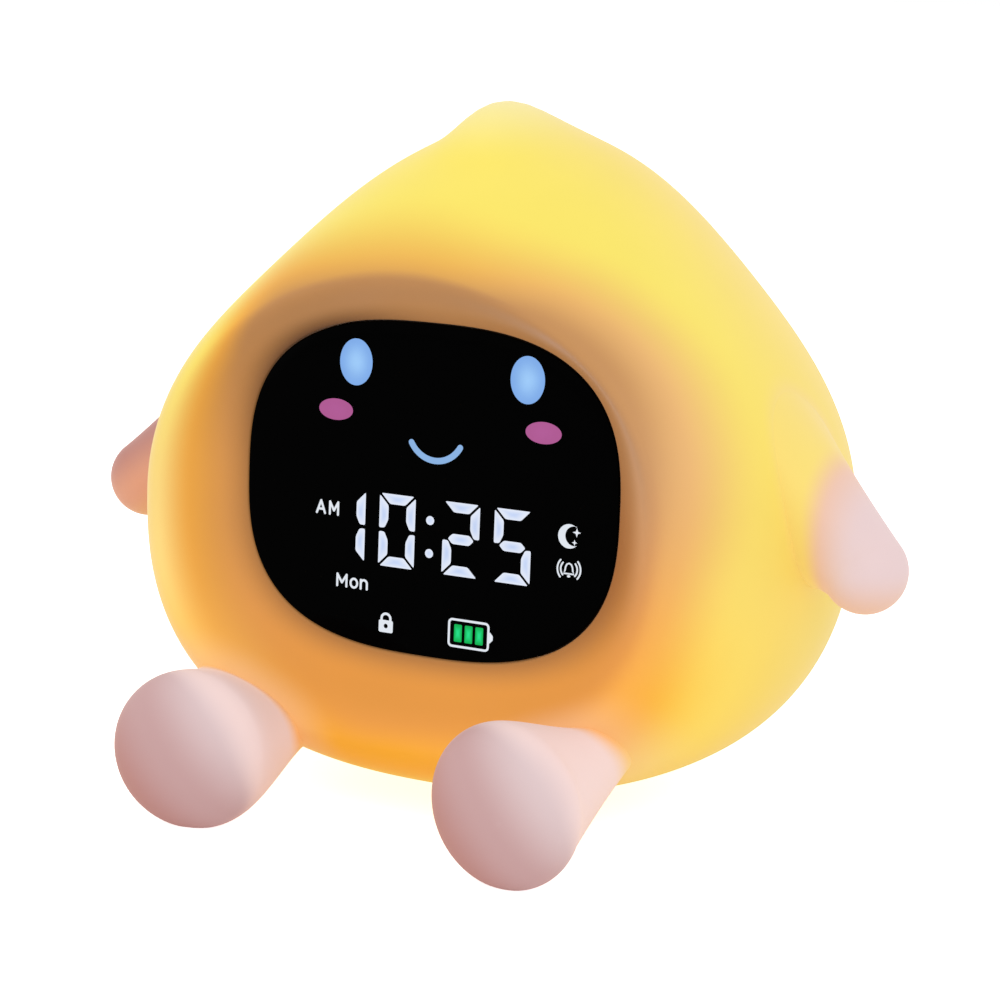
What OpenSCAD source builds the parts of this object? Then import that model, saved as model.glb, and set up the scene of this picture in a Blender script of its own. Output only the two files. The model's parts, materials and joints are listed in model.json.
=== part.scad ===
// Kids alarm clock with night light: a soft silicone body over a lit inner shell, with a
// sunken display in front and the keys, speaker and charging port in a panel behind.
// Front is -Y, up is +Z, and the origin is on the ground under the middle of the base pad.

/* [Body] */
// Width of the body at its widest
body_w = 120; // [112:1:132]
// Height of the body's widest line above its flat underside
middle_h = 47; // [45:0.5:50]
// Height of the crown above the widest line, without the tip
crown_h = 65; // [60:1:74]
// How far the flanks of the crown pull in
waist = 4; // [0:0.5:6]
// Depth of the belly below the flat underside, which cuts it off
belly_cut = 1.6; // [1.4:0.1:2.4]
// Squareness of the lower half
belly_n = 2.4; // [2.2:0.1:2.8]
// Height of the tip on the crown
tip_h = 5.4; // [3:0.2:8]
// Half-angle that the tip spans
tip_angle = 8.5; // [7:0.5:12]
// Half-depth of the tip, front to back
tip_depth = 11; // [9:0.5:15]
// Depth from the display's face to the back
body_d = 68; // [66:1:78]
// Wall of the silicone skin
skin_wall = 2.5; // [2:0.1:3]
// Wall of the inner shell
shell_wall = 2; // [1.5:0.1:2.5]

/* [Display] */
// Width of the display's lens
display_w = 70.4; // [68:0.2:74]
// Height of the display's lens
display_h = 56; // [54:0.5:60]
// Squareness of the display's outline
display_n = 2.75; // [2.4:0.05:3.2]
// Height of the display's centre above the ground
display_z = 55.1; // [54:0.1:57]
// Lean of the display, top backwards
display_tilt = 2.5; // [0:0.5:4]
// Depth of the dish round the display
dish_d = 9.5; // [7:0.5:11]
// Thickness of the lens
lens_t = 2; // [1.5:0.1:2.5]
// Depth of the light box behind the lens
box_d = 7; // [6:0.5:8]
// Height of a digit
digit_h = 12.7; // [11:0.1:14]
// Width of a digit
digit_w = 7.2; // [6.4:0.1:7.6]
// Width of a lit segment
segment_w = 1.7; // [1.5:0.1:1.9]

/* [Rear panel] */
// Width of the rear panel
panel_w = 66; // [65:1:70]
// Height of the rear panel
panel_h = 62; // [61:1:66]
// Height of the panel's centre above the ground
panel_z = 51.5; // [50.5:0.5:53]
// Diameter of a key
key_d = 6.8; // [6:0.1:7]
// Distance between keys
key_pitch = 9.5; // [9.3:0.1:9.6]
// Travel of a key
key_travel = 0.5; // [0.3:0.05:0.6]
// How far a key stands out of the panel
key_proud = 0.9; // [0.7:0.05:1.2]
// Diameter of the speaker
speaker_d = 26; // [24:0.5:26]
// Travel of the power switch
switch_travel = 3; // [2:0.5:3.5]

/* [Insides] */
// Diameter of the battery cell
cell_d = 18.4; // [16:0.2:18.6]
// Length of the battery cell
cell_l = 65; // [50:1:66]
// Thickness of the circuit boards
board_t = 1.6; // [1:0.2:2]
// Diameter of the posts that carry the boards
post_d = 5.9; // [5.4:0.1:6.2]
// Diameter of the screws' shanks
screw_d = 2.4; // [2:0.1:2.5]

/* [Limbs] */
// Width of a foot
foot_w = 22.8; // [20:0.2:25]
// Height of a foot
foot_h = 26; // [23:0.5:28]
// Distance between the feet's centres
foot_span = 58.6; // [54:0.5:62]
// How far the soles stand in front of the display's face
foot_reach = 33; // [30:0.5:36]
// How far the arms' tips stand out of the body's sides
arm_reach = 17.3; // [14:0.1:20]
// Diameter of an arm's tip
arm_tip_d = 14; // [11:0.5:16]

/* [Base] */
// Thickness of the anti-slip pad
pad_t = 1.5; // [1:0.1:2]
// Width of the opening in the skin's underside
base_w = 36; // [34:1:37]
// Depth of that opening, front to back
base_d = 20; // [18:1:21]

/* [Fits] */
// Gap between the skin and the inner shell
skin_gap = 0.3; // [0.2:0.05:0.4]
// Gap round pieces that are fitted into an opening
fit_gap = 0.15; // [0.1:0.05:0.25]
// Radial clearance of a sliding key or plunger
slide_gap = 0.08; // [0.05:0.01:0.1]
// Gap between a moving piece and its neighbours
move_gap = 0.3; // [0.3:0.05:0.5]

/* [Hidden] */
$fn = 48;

// Stations of the body, front to back
face_y = -24;
back_y = face_y + body_d;
middle_z = pad_t + middle_h;
crest_in_side = 0.5;
crest_in_top = 0.32;
crest_in_low = 0.49;
widest_y = 7;
widest_y_top = 7.5;
widest_y_low = 6;
shoulder_n = 1.85;
shoulder_n_top = 2;
shell_out = skin_wall + skin_gap;
shell_in = shell_out + shell_wall;
body_sides = 64;
outer_stations = [0, 0.25, 0.5, 0.75, 1, 1.12, 1.25, 1.4, 1.55, 1.7, 1.85, 2, 2.12, 2.25, 2.4, 2.6, 2.8, 3];
front_stations = [0, 0.35, 0.7, 1, 1.2, 1.45, 1.7, 1.85, 2];
rear_stations = [2.004, 2.12, 2.25, 2.4, 2.6, 2.8, 2.9, 3];

// Stations of the display, counted back from the lens's face
gasket_t = 0.5;
film_t = 0.25;
housing_wall = 1.8;
box_y = lens_t + gasket_t;
display_board_y = box_y + box_d;
housing_d = display_board_y + board_t + 3.3 + 1.6;
plate_y = housing_d + 3;
plate_t = 2;
housing_screw_x = 14;
housing_screw_z = 21;
housing_boss_d = 6;
housing_bore_y = display_board_y + board_t + 0.6;
housing_screw_l = plate_y + plate_t - housing_bore_y - 0.2;
ribbon_w = 10;
ribbon_drop = 16;

// Stations behind, counted from the display's face in the clock's own frame
panel_t = skin_wall;
panel_in = back_y - panel_t;
flange_t = 1.8;
flange_top = back_y - shell_in - 0.5;
flange_lap = 1.8;
post_x = 22.5;
post_z = [panel_z - 15, panel_z + 15];
post_base_d = post_d + 4.1;
post_end = panel_in - 2.5;
lamp_y = 12;
main_y = back_y - 11.1;
main_rear = main_y + board_t;
tube_d = post_d + 3.1;

main_w = 57;
main_top = panel_z - 2.4;
main_low = panel_z - 25.5;
ribbon_t = 0.3;
ribbon_end_z = panel_z - 9;

// Rear panel
key_names = ["light", "down", "set", "up", "alarm"];
key_z = panel_z - 6.5;
key_flange_d = key_d + 1.6;
key_flange_t = 1.2;
switch_h = 3;
plunger_d = 3;
plunger_top = main_rear + switch_h + 1.2;
speaker_z = panel_z + 13.5;
usb_z = panel_z - 20.5;
usb_w = 8.94;
usb_h = 3.26;
usb_top = back_y - 0.2;
switch_x = 13;
switch_z = panel_z - 19.5;
knob_w = 3;
knob_h = 2.6;
charge_x = -13;
charge_d = 2.4;

// Base
base_y = 5;
under_z = pad_t;
base_flange = 1.5;
base_flange_t = 1.5;
base_flange_z = under_z + skin_wall + 0.1;
floor_z = base_flange_z + base_flange_t;
floor_t = 2;
floor_top = floor_z + floor_t;
base_screw_x = base_w / 2 - 4.5;
base_recess_d = screw_d + 3;
base_recess_h = 1.8;
base_screw_l = floor_z + 4.7 - under_z - base_recess_h;
pad_w = 2 * base_screw_x - base_recess_d - 0.6;
pad_d = base_d - 2;
cell_y = 12.5;
cell_lift = 5;
cell_z = floor_top + cell_lift + cell_d / 2;
saddle_x = 15;
saddle_t = 3;
saddle_r = cell_d / 2 + 1.4;
strap_t = 0.8;

// Lamp board, which stands over the cell's straps
lamp_w = 62;
lamp_low = cell_z + cell_d / 2 + strap_t + 1.2;
lamp_top = panel_z + 19;
lamp_led_x = [-14, -7, 0, 7, 14];

// ---------------------------------------------------------------- helpers
function mix(a, b, k) = a + (b - a) * k;
function up_share(th) = sin(th) > 0 ? pow(sin(th), 2) : 0;
function low_share(th) = sin(th) < 0 ? pow(sin(th), 2) : 0;
function by_side(th, side, top, low) =
  side * (1 - up_share(th) - low_share(th)) + top * up_share(th) + low * low_share(th);

// Polar radius of a superellipse with half-axes a and b
function oval_r(a, b, n, th) = pow(pow(abs(cos(th) / a), n) + pow(abs(sin(th) / b), n), -1 / n);

function oval(w, h, n = 2, sides = 72) =
  [for (i = [0:sides - 1]) let (th = i * 360 / sides) oval_r(w / 2, h / 2, n, th) * [cos(th), sin(th)]];

// Quads between successive rings of n points, split into triangles; from ring "turn" on, a wall
// runs back, and its quads are split along the other diagonal to match the wall beside it
function band_faces(rings, n, closed = false, turn = undef) =
  [for (j = [0:(closed ? rings - 1 : rings - 2)], i = [0:n - 1])
    let (a = j * n + i, b = j * n + (i + 1) % n, k = (j + 1) % rings, c = k * n + (i + 1) % n, d = k * n + i)
    each is_undef(turn) || j < turn ? [[a, b, c], [a, c, d]] : [[a, b, d], [b, c, d]]];

// A solid through rings, closed at both ends by a point
module capped_loft(start, rings, end) {
  n = len(rings[0]);
  m = len(rings);
  points = [for (r = rings) each r, start, end];
  first = [for (i = [0:n - 1]) [m * n, (i + 1) % n, i]];
  last = [for (i = [0:n - 1]) [m * n + 1, (m - 1) * n + i, (m - 1) * n + (i + 1) % n]];
  polyhedron(points, concat(band_faces(m, n), first, last), 10);
}

// A solid of flat outline standing from y0 to y1, along +Y
module stand(y0, y1) translate([0, y1, 0]) rotate([90, 0, 0]) linear_extrude(y1 - y0) children();

// A round bar along +Y
module bar(d, y0, y1, x = 0, z = 0) translate([x, y1, z]) rotate([90, 0, 0]) cylinder(d = d, h = y1 - y0);

// A screw along +Y whose head's underside is at y, head towards +Y
module screw(x, y, z, length) {
  bar(screw_d, y - length, y, x, z);
  difference() {
    bar(screw_d + 2.4, y, y + 1.5, x, z);
    for (a = [0, 90])
      translate([x, y + 1.1, z]) rotate([0, a, 0]) cube([2.6, 1, 0.6], center = true);
  }
}

// ---------------------------------------------------------------- body surface
// The surface is a family of rings round the Y axis. Four rings shape it: the display's edge,
// the crest of the rim, the widest line and the panel's edge. "inset" moves each one inwards.
function widest_r(th, inset) = (sin(th) >= 0
  ? body_w / 2 + (crown_h - body_w / 2) * pow(sin(th), 8) - waist * pow(sin(2 * th), 2)
  : oval_r(body_w / 2, middle_h + belly_cut, belly_n, th)) - inset;

function display_edge(th, inset) = let (r = oval_r(display_w / 2, display_h / 2, display_n, th))
  [r * cos(th), face_y + inset + r * sin(th) * tan(display_tilt),
   display_z + r * sin(th) - inset * sin(display_tilt)];

function widest(th, inset) = let (r = widest_r(th, inset))
  [r * cos(th), by_side(th, widest_y, widest_y_top, widest_y_low), middle_z + r * sin(th)];

function crest(th, inset) = let (
    e = display_edge(th, inset), w = widest(th, 0),
    k = by_side(th, crest_in_side, crest_in_top, crest_in_low),
    z = mix(e.z, w.z, k))
  [mix(e.x, w.x, k), face_y + inset - dish_d + (z - display_z) * tan(display_tilt), z];

function panel_edge(th, inset) = let (r = oval_r(panel_w / 2, panel_h / 2, 2, th))
  [r * cos(th), back_y - inset, panel_z + r * sin(th)];

// A superelliptic quarter turn from a to b: it leaves a across Y and reaches b along Y
function turn_out(a, b, s, n) = let (g = pow(sin(90 * s), 2 / n), h = 1 - pow(cos(90 * s), 2 / n))
  [mix(a.x, b.x, g), mix(a.y, b.y, h), mix(a.z, b.z, g)];
// The same from b to a: it leaves a along Y and reaches b across Y
function turn_in(a, b, s) = [mix(b.x, a.x, cos(90 * s)), mix(a.y, b.y, sin(90 * s)), mix(b.z, a.z, cos(90 * s))];
// The dish: a soft S from the display's edge to the crest
function dish(a, b, s) = [mix(a.x, b.x, s), mix(a.y, b.y, (1 - cos(180 * s)) / 2), mix(a.z, b.z, s)];

function bare_point(th, t, inset) = t <= 1 ? dish(display_edge(th, inset), crest(th, inset), t)
  : t <= 2 ? turn_out(crest(th, inset), widest(th, inset), t - 1, mix(shoulder_n, shoulder_n_top, up_share(th)))
  : turn_in(widest(th, inset), panel_edge(th, inset), t - 2);

// Point of the body at angle th round the Y axis and station t: 0 display, 1 crest, 2 widest, 3 panel
function body_point(th, t, inset = 0) = let (
    p = bare_point(th, t, inset),
    off_top = abs((th + 450) % 360 - 180) / tip_angle,
    rise = t <= 0.5 ? 0 : tip_h * exp(-pow(off_top, 2) - pow(p.y / tip_depth, 2)),
    q = p + rise * [cos(th), 0, sin(th)])
  [q.x, q.y, max(q.z, under_z + inset)];

function ring(t, inset) = [for (i = [0:body_sides - 1]) body_point(i * 360 / body_sides, t, inset)];
function backwards(v) = [for (i = [len(v) - 1:-1:0]) v[i]];

// A wall that follows the body through the given stations, between two insets
module body_wall(stations_out, stations_in, inset_out, inset_in) {
  rings = concat([for (t = stations_out) ring(t, inset_out)], [for (t = backwards(stations_in)) ring(t, inset_in)]);
  polyhedron([for (r = rings) each r], band_faces(len(rings), body_sides, true, len(stations_out)), 10);
}

module base_opening(grow, z0, z1)
  translate([0, base_y, z0]) linear_extrude(z1 - z0) polygon(oval(base_w + 2 * grow, base_d + 2 * grow));

module silicone_skin() color("gold") difference() {
  body_wall(outer_stations, concat(front_stations, rear_stations), 0, skin_wall);
  base_opening(0, under_z - 1, under_z + skin_wall + 1);
}

module front_shell() color("ivory", 0.6) difference() {
  body_wall(front_stations, front_stations, shell_out, shell_in);
  base_opening(base_flange + 0.4, under_z, floor_top);
}

module rear_shell() color("ivory", 0.6) difference() {
  body_wall(rear_stations, rear_stations, shell_out, shell_in);
  base_opening(base_flange + 0.4, under_z, floor_top);
}

// ---------------------------------------------------------------- limbs
limb_gap = 0.15;
limb_sides = 24;
leg_root = [-52, 1.22];
leg_root_reach = [13.5, 0.25];
leg_turn = 45;
leg_root_half = 9.5;
foot_flat = 0.6;
arm_root = [2.2, 2.03];
arm_root_reach = [13, 0.2];
arm_root_half = [9, 13];
arm_tip = [body_w / 2 + arm_reach, -5, middle_z - 4];

// A ring on the skin round a root, in the surface's own angle and station
function root_ring(root, reach, k) = [for (i = [0:limb_sides - 1]) let (a = i * 360 / limb_sides)
  body_point(root[0] + reach[0] * k * cos(a), root[1] + reach[1] * k * sin(a), -limb_gap)];

// Share of the way from root to tip, and the section's size there
leg_profile = [[0.1, 1], [0.25, 0.99], [0.42, 0.98], [0.58, 0.98], [0.72, 1], [0.83, 1], [0.91, 0.96],
  [0.96, 0.87], [0.985, 0.75], [1, 0.55], [1.004, 0.28]];
arm_profile = [[0.08, 0.97], [0.22, 0.94], [0.38, 0.95], [0.52, 0.97], [0.64, 1], [0.76, 0.94], [0.86, 0.79],
  [0.94, 0.56], [0.985, 0.3]];

module leg() color("mistyrose") {
  start = body_point(leg_root[0], leg_root[1], -limb_gap);
  sole = [foot_span / 2, face_y - foot_reach, foot_h / 2 - foot_flat];
  root = root_ring(leg_root, leg_root_reach, 1);
  capped_loft(start, concat(
    [for (k = [0.4, 0.75]) root_ring(leg_root, leg_root_reach, k)], [root],
    [for (s = leg_profile) let (c = mix(start, sole, s[0]), e = min(1, 0.25 + s[0] * 1.1))
      [for (i = [0:limb_sides - 1]) let (a = leg_turn - i * 360 / limb_sides)
        [c.x + s[1] * foot_w / 2 * cos(a),
         c.y + (1 - min(1, s[0] * 1.4)) * (root[i].y - start.y),
         max(0, c.z + s[1] * mix(leg_root_half, foot_h / 2, e) * sin(a))]]]),
    sole - [0, 0.2, 0]);
}

module arm() color("mistyrose") {
  start = body_point(arm_root[0], arm_root[1], -limb_gap);
  root = root_ring(arm_root, arm_root_reach, 1);
  capped_loft(start, concat(
    [for (k = [0.4, 0.75]) root_ring(arm_root, arm_root_reach, k)], [root],
    [for (s = arm_profile) let (c = mix(start, arm_tip, s[0]), e = min(1, s[0] * 1.25))
      [for (i = [0:limb_sides - 1]) let (a = i * 360 / limb_sides)
        [c.x + (1 - min(1, s[0] * 1.3)) * (root[i].x - start.x),
         c.y + s[1] * mix(arm_root_half[0], arm_tip_d / 2, e) * sin(a),
         c.z + s[1] * mix(arm_root_half[1], arm_tip_d / 2, e) * cos(a)]]]),
    arm_tip);
}

module arm_right() arm();
module arm_left() mirror([1, 0, 0]) arm();
module leg_right() leg();
module leg_left() mirror([1, 0, 0]) leg();

// ---------------------------------------------------------------- display
// The display's own frame: origin in the middle of the lens's face, +Y into the body
module at_display() translate([0, face_y, display_z]) rotate([-display_tilt, 0, 0]) children();

module display_slab(inset, y0, y1)
  stand(y0, y1) polygon(oval(display_w - 2 * inset, display_h - 2 * inset, display_n));

digit_x = [-16.6, -7.2, 4.6, 14.2];
digit_z = -7.4;

// Places of the seven segments in a digit: x, z and whether it stands upright
function segments() = let (h = digit_h / 2, v = digit_h / 4, w = digit_w / 2 - segment_w / 2) [
  [0, h - segment_w / 2, false], [0, 0, false], [0, segment_w / 2 - h, false],
  [-w, v, true], [w, v, true], [-w, -v, true], [w, -v, true]];

// A bar with pointed ends
module segment(length) polygon([
  [-length / 2, 0], [segment_w / 2 - length / 2, segment_w / 2], [length / 2 - segment_w / 2, segment_w / 2],
  [length / 2, 0], [length / 2 - segment_w / 2, -segment_w / 2], [segment_w / 2 - length / 2, -segment_w / 2]]);

module digit_windows() {
  flat_l = digit_w - segment_w - 0.5;
  tall_l = digit_h / 2 - segment_w / 2 - 0.5;
  for (x = digit_x, s = segments())
    translate([x + s[0], digit_z + s[1]]) rotate(s[2] ? 90 : 0) segment(s[2] ? tall_l : flat_l);
}

// Places and sizes of the round and oval windows: eyes, cheeks, colon and signs
eye = [16.2, 19.3, 5.8, 8.2];
cheek = [19.8, 11.2, 6.2, 4];
round_windows = [
  [-eye[0], eye[1], eye[2], eye[3]], [eye[0], eye[1], eye[2], eye[3]],
  [-cheek[0], cheek[1], cheek[2], cheek[3]], [cheek[0], cheek[1], cheek[2], cheek[3]],
  [-1.3, -4.6, 1.6, 1.6], [-1.3, -10.2, 1.6, 1.6],
  [23.4, -4, 4.4, 4.4], [23.4, -9.8, 4.6, 4.4], [-22.4, -4.6, 4.8, 3], [-18.6, -15.2, 6, 3.4],
  [-9.6, -20.6, 3, 4.2], [5.2, -21.4, 8.4, 5.4]];

// The smile: a bow of a constant width
module smile_window() translate([0, 13.6]) difference() {
  circle(r = 6.6);
  circle(r = 5.4);
  translate([-8, -3.6]) square([16, 12]);
}

module display_windows() {
  digit_windows();
  smile_window();
  for (w = round_windows) translate([w[0], w[1]]) polygon(oval(w[2], w[3], 2, 24));
}

module lens() color([0.02, 0.02, 0.03]) at_display() display_slab(fit_gap, 0, lens_t);

module lens_gasket() color("dimgray") at_display() difference() {
  display_slab(fit_gap + 0.3, lens_t, box_y);
  display_slab(fit_gap + housing_wall + 0.2, lens_t - 1, box_y + 1);
}

module mask_film() color("black") at_display()
  display_slab(fit_gap + housing_wall + 0.4, lens_t, lens_t + film_t);

module display_housing() color([0.1, 0.1, 0.1]) at_display() difference() {
  union() {
    display_slab(fit_gap, box_y, housing_d);
    display_slab(-3, shell_in + 0.2, shell_in + 1.8);
  }
  difference() {
    display_slab(fit_gap + housing_wall, box_y - 1, housing_d - 1.6);
    for (x = [-1, 1], z = [-1, 1])
      bar(housing_boss_d, display_board_y + board_t, housing_d, x * housing_screw_x, z * housing_screw_z);
  }
  for (x = [-1, 1], z = [-1, 1])
    bar(screw_d + 0.1, housing_bore_y, housing_d + 1, x * housing_screw_x, z * housing_screw_z);
  translate([0, housing_d, -ribbon_drop]) cube([ribbon_w + 8, 6, 8], center = true);
}

module light_box() color("white") at_display() difference() {
  display_slab(fit_gap + housing_wall + 0.2, box_y, display_board_y);
  stand(box_y - 1, display_board_y + 1) display_windows();
}

module display_board() color("darkgreen") at_display()
  display_slab(fit_gap + housing_wall + 0.2, display_board_y, display_board_y + board_t);

// A small LED chip in the middle of each window
module display_leds() color("lemonchiffon") at_display() {
  chip = [1.2, 0.8, 1];
  for (x = digit_x, s = segments())
    translate([x + s[0], display_board_y - 0.4, digit_z + s[1]]) cube(chip, center = true);
  for (w = round_windows)
    translate([w[0], display_board_y - 0.4, w[1]]) cube([0.9, 0.8, 0.9], center = true);
  translate([0, display_board_y - 0.4, 13.6 - 6]) cube([1.2, 0.8, 0.8], center = true);
}

module housing_screws() color("silver") at_display() for (x = [-1, 1], z = [-1, 1])
  screw(x * housing_screw_x, plate_y + plate_t, z * housing_screw_z, housing_screw_l);

// ---------------------------------------------------------------- chassis
touch_at = body_point(90, 1.86, shell_in);
touch_post_top = touch_at.z - 12;
touch_cup_d = 10;
chassis_foot_w = base_w - 8;
plate_low = floor_top + 6;
gusset_x = 8;
gusset_h = 16;
seat_lap = 0.5;

// The plate's back face at height z, in the clock's own frame
function plate_back(z) = face_y + plate_y + plate_t - (display_z - z) * tan(display_tilt);

// A rib between the floor and the plate
module gusset() rotate([90, 0, 90]) linear_extrude(2) polygon([
  [plate_back(floor_top) - 0.5, floor_top - seat_lap], [base_y + base_d / 2 - 1, floor_top - seat_lap],
  [base_y + base_d / 2 - 1, floor_top], [plate_back(floor_top + gusset_h) - 0.5, floor_top + gusset_h]]);

// A cradle under the cell; its underside clears the rear shell
module saddle() rotate([90, 0, 90]) linear_extrude(saddle_t) polygon([
  [cell_y - saddle_r, cell_z], [cell_y - saddle_r, cell_z - 6], [cell_y - 5, floor_top - seat_lap],
  [cell_y, floor_top - seat_lap], [cell_y + saddle_r, cell_z - 6], [cell_y + saddle_r, cell_z]]);

module chassis() color("white") difference() {
  union() {
    at_display() {
      stand(plate_y, plate_y + plate_t) {
        polygon(oval(display_w - 8.4, display_h - 6, 3));
        translate([-chassis_foot_w / 2, plate_low - display_z]) square([chassis_foot_w, 30]);
      }
      for (x = [-1, 1], z = [-1, 1])
        bar(housing_boss_d + 1, housing_d, plate_y + plate_t / 2, x * housing_screw_x, z * housing_screw_z);
    }
    base_slab(base_flange - 0.2, floor_z, floor_top);
    for (x = [-1, 1], z = post_z) {
      bar(post_base_d, -4.4, lamp_y, x * post_x, z);
      bar(post_d, lamp_y - 1, post_end, x * post_x, z);
    }
    for (x = [-1, 1]) {
      translate([x * saddle_x - saddle_t / 2, 0, 0]) saddle();
      translate([x * base_screw_x, base_y, floor_z]) cylinder(d = 6, h = floor_t + 3.5);
      translate([x * gusset_x - 1, 0, 0]) gusset();
    }
    translate([0, touch_at.y, display_z + 10]) cylinder(d = 5, h = touch_post_top - display_z - 10);
    translate([0, touch_at.y, touch_post_top - 1.5]) cylinder(d = touch_cup_d, h = 1.5);
  }
  translate([0, cell_y, cell_z]) rotate([0, 90, 0]) cylinder(d = cell_d + 0.1, h = 2 * cell_l, center = true);
  at_display() {
    for (x = [-1, 1], z = [-1, 1])
      bar(screw_d + 0.4, housing_d - 1, plate_y + plate_t + 1, x * housing_screw_x, z * housing_screw_z);
    for (x = [-11, 11]) stand(plate_y - 1, plate_y + plate_t + 1) translate([x, 2]) polygon(oval(16, 24, 3));
    stand(plate_y - 1, plate_y + plate_t + 1) translate([0, -ribbon_drop]) square([2 * ribbon_w + 2, 6], center = true);
  }
  for (x = [-1, 1]) {
    for (z = post_z) bar(screw_d + 0.1, post_end - 9, post_end + 1, x * post_x, z);
    translate([x * base_screw_x, base_y, floor_z - 1]) cylinder(d = screw_d + 0.1, h = 6);
  }
}

module touch_spring() color("goldenrod") {
  turns = 5;
  sides = 6;
  steps = 12;
  wire = 0.7;
  height = touch_at.z - touch_post_top - wire - 1.6;
  path = [for (i = [0:turns * steps]) let (a = i * 360 / steps, s = i / (turns * steps))
    [mix(4, 2.6, s) * cos(a), touch_at.y + mix(4, 2.6, s) * sin(a), touch_post_top + wire / 2 + 0.02 + height * s]];
  tube(path, wire, sides);
}

// ---------------------------------------------------------------- tubes and wires
function smooth(p, per = 5) = [
  for (i = [0:len(p) - 2], j = [0:per - 1]) let (
    a = p[max(i - 1, 0)], b = p[i], c = p[i + 1], d = p[min(i + 2, len(p) - 1)], s = j / per)
    b + s * (c - a) / 2 + s * s * (a - 2.5 * b + 2 * c - d / 2) + s * s * s * (1.5 * (b - c) + (d - a) / 2),
  p[len(p) - 1]];

function unit(v) = v / norm(v);

// A round tube along a path
module tube(path, d, sides = 6) {
  m = len(path);
  rings = [for (k = [0:m - 1]) let (
      t = unit(path[min(k + 1, m - 1)] - path[max(k - 1, 0)]),
      u = unit(cross(t, abs(t.z) > 0.9 ? [0, 1, 0] : [0, 0, 1])), v = cross(t, u))
    [for (i = [0:sides - 1]) let (a = -i * 360 / sides) path[k] + d / 2 * (cos(a) * u + sin(a) * v)]];
  capped_loft(path[0], rings, path[m - 1]);
}

// Each lead ends on a joint of solder that stands off its face
wire_d = 1.1;
solder_t = 0.15;
battery_route = [[cell_l / 2 + 0.75, cell_y, cell_z], [cell_l / 2 + 2.8, cell_y + 4, cell_z + 2],
  [cell_l / 2 - 1.5, cell_y + 12, cell_z + 7], [20, main_y - 4, main_low + 5], [20, main_y - solder_t, main_low + 5]];
lamp_route = [[3.5, lamp_y + board_t + solder_t, lamp_low + 4.5], [3.5, lamp_y + 6, lamp_low + 4.5],
  [3.5, lamp_y + 14, main_low + 7.5], [3.5, main_y - solder_t, main_low + 7.5]];
speaker_route = [[3, back_y - 6.8, speaker_z - 8.7], [3.8, back_y - 7.8, speaker_z - 11],
  [4.6, back_y - 7.4, speaker_z - 14.6], [4.75, main_rear + 1.3, speaker_z - 17.2],
  [4.75, main_rear + solder_t, speaker_z - 17.3]];
touch_route = [[5.6, touch_at.y, touch_post_top - 0.7], [7.4, 4, touch_post_top - 8], [8, 8, touch_post_top - 22],
  [8, lamp_y - 2, panel_z + 8.5], [8, lamp_y + 6, panel_z - 1.5], [8, main_y - 5, main_top - 4.3],
  [8, main_y - solder_t, main_top - 4.3]];

module mirrored_wires(route, colours) for (x = [0, 1])
  color(colours[x]) mirror([x, 0, 0]) tube(smooth(route), wire_d);

module battery_leads() mirrored_wires(battery_route, ["red", "black"]);
module lamp_leads() mirrored_wires(lamp_route, ["white", "black"]);
module speaker_leads() mirrored_wires(speaker_route, ["red", "black"]);
module touch_lead() color("gray") tube(smooth(touch_route), wire_d);

// A flat ribbon from the display board, through the housing and the chassis, to the main board
module display_ribbon() color("whitesmoke") {
  front = face_y + display_board_y + board_t - ribbon_drop * tan(display_tilt) + 0.05;
  low = display_z - ribbon_drop;
  profile = [[front, low], [front + 9, low], [front + 15, mix(low, ribbon_end_z, 0.4)],
    [lamp_y - 1, ribbon_end_z], [main_y, ribbon_end_z]];
  n = len(profile);
  outline = concat(profile, [for (i = [1:n]) profile[n - i] + [0, ribbon_t]]);
  translate([-ribbon_w / 2, 0, 0]) rotate([90, 0, 90]) linear_extrude(ribbon_w) polygon(outline);
}

// ---------------------------------------------------------------- lamp and boards

module post_holes(y0, y1, zs) for (x = [-1, 1], z = zs) bar(post_d + 0.2, y0, y1, x * post_x, z);

module lamp_board() color("white") difference() {
  stand(lamp_y, lamp_y + board_t) difference() {
    translate([0, (lamp_top + lamp_low) / 2]) polygon(oval(lamp_w, lamp_top - lamp_low, 4));
    translate([0, panel_z]) polygon(oval(32, 24, 3));
  }
  post_holes(lamp_y - 1, lamp_y + board_t + 1, post_z);
}

module lamp_leds() color("khaki") {
  chip = [5, 1.6, 5];
  y = lamp_y + board_t + chip.y / 2;
  for (x = lamp_led_x, z = [lamp_low + 3.2, lamp_top - 3.2])
    translate([x, y, z]) cube(chip, center = true);
  for (z = [-6, 0, 6], side = [-1, 1])
    translate([side * (lamp_w / 2 - 4.2), y, panel_z + z]) cube(chip, center = true);
}

module post_spacers() color("silver") for (x = [-1, 1], z = post_z) difference() {
  bar(tube_d, lamp_y + board_t, main_y, x * post_x, z);
  bar(post_d + 0.2, lamp_y, main_y + 1, x * post_x, z);
}

module main_board() color("darkgreen") difference() {
  stand(main_y, main_rear) translate([0, (main_top + main_low) / 2])
    polygon(oval(main_w, main_top - main_low, 7));
  post_holes(main_y - 1, main_rear + 1, [post_z[0]]);
}

module board_parts() color([0.15, 0.15, 0.15]) {
  translate([-12.5, main_y - 1, main_top - 9.1]) cube([8, 2, 8], center = true);
  translate([15, main_y - 0.8, main_top - 3.6]) cube([6, 1.6, 5], center = true);
  translate([0, main_y - 1.2, ribbon_end_z + ribbon_t + 1.7]) cube([ribbon_w + 2, 2.4, 3], center = true);
  translate([charge_x, main_rear + 0.4, switch_z]) cube([1.6, 0.8, 0.8], center = true);
}

function key_x(i) = (i - (len(key_names) - 1) / 2) * key_pitch;

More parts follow.
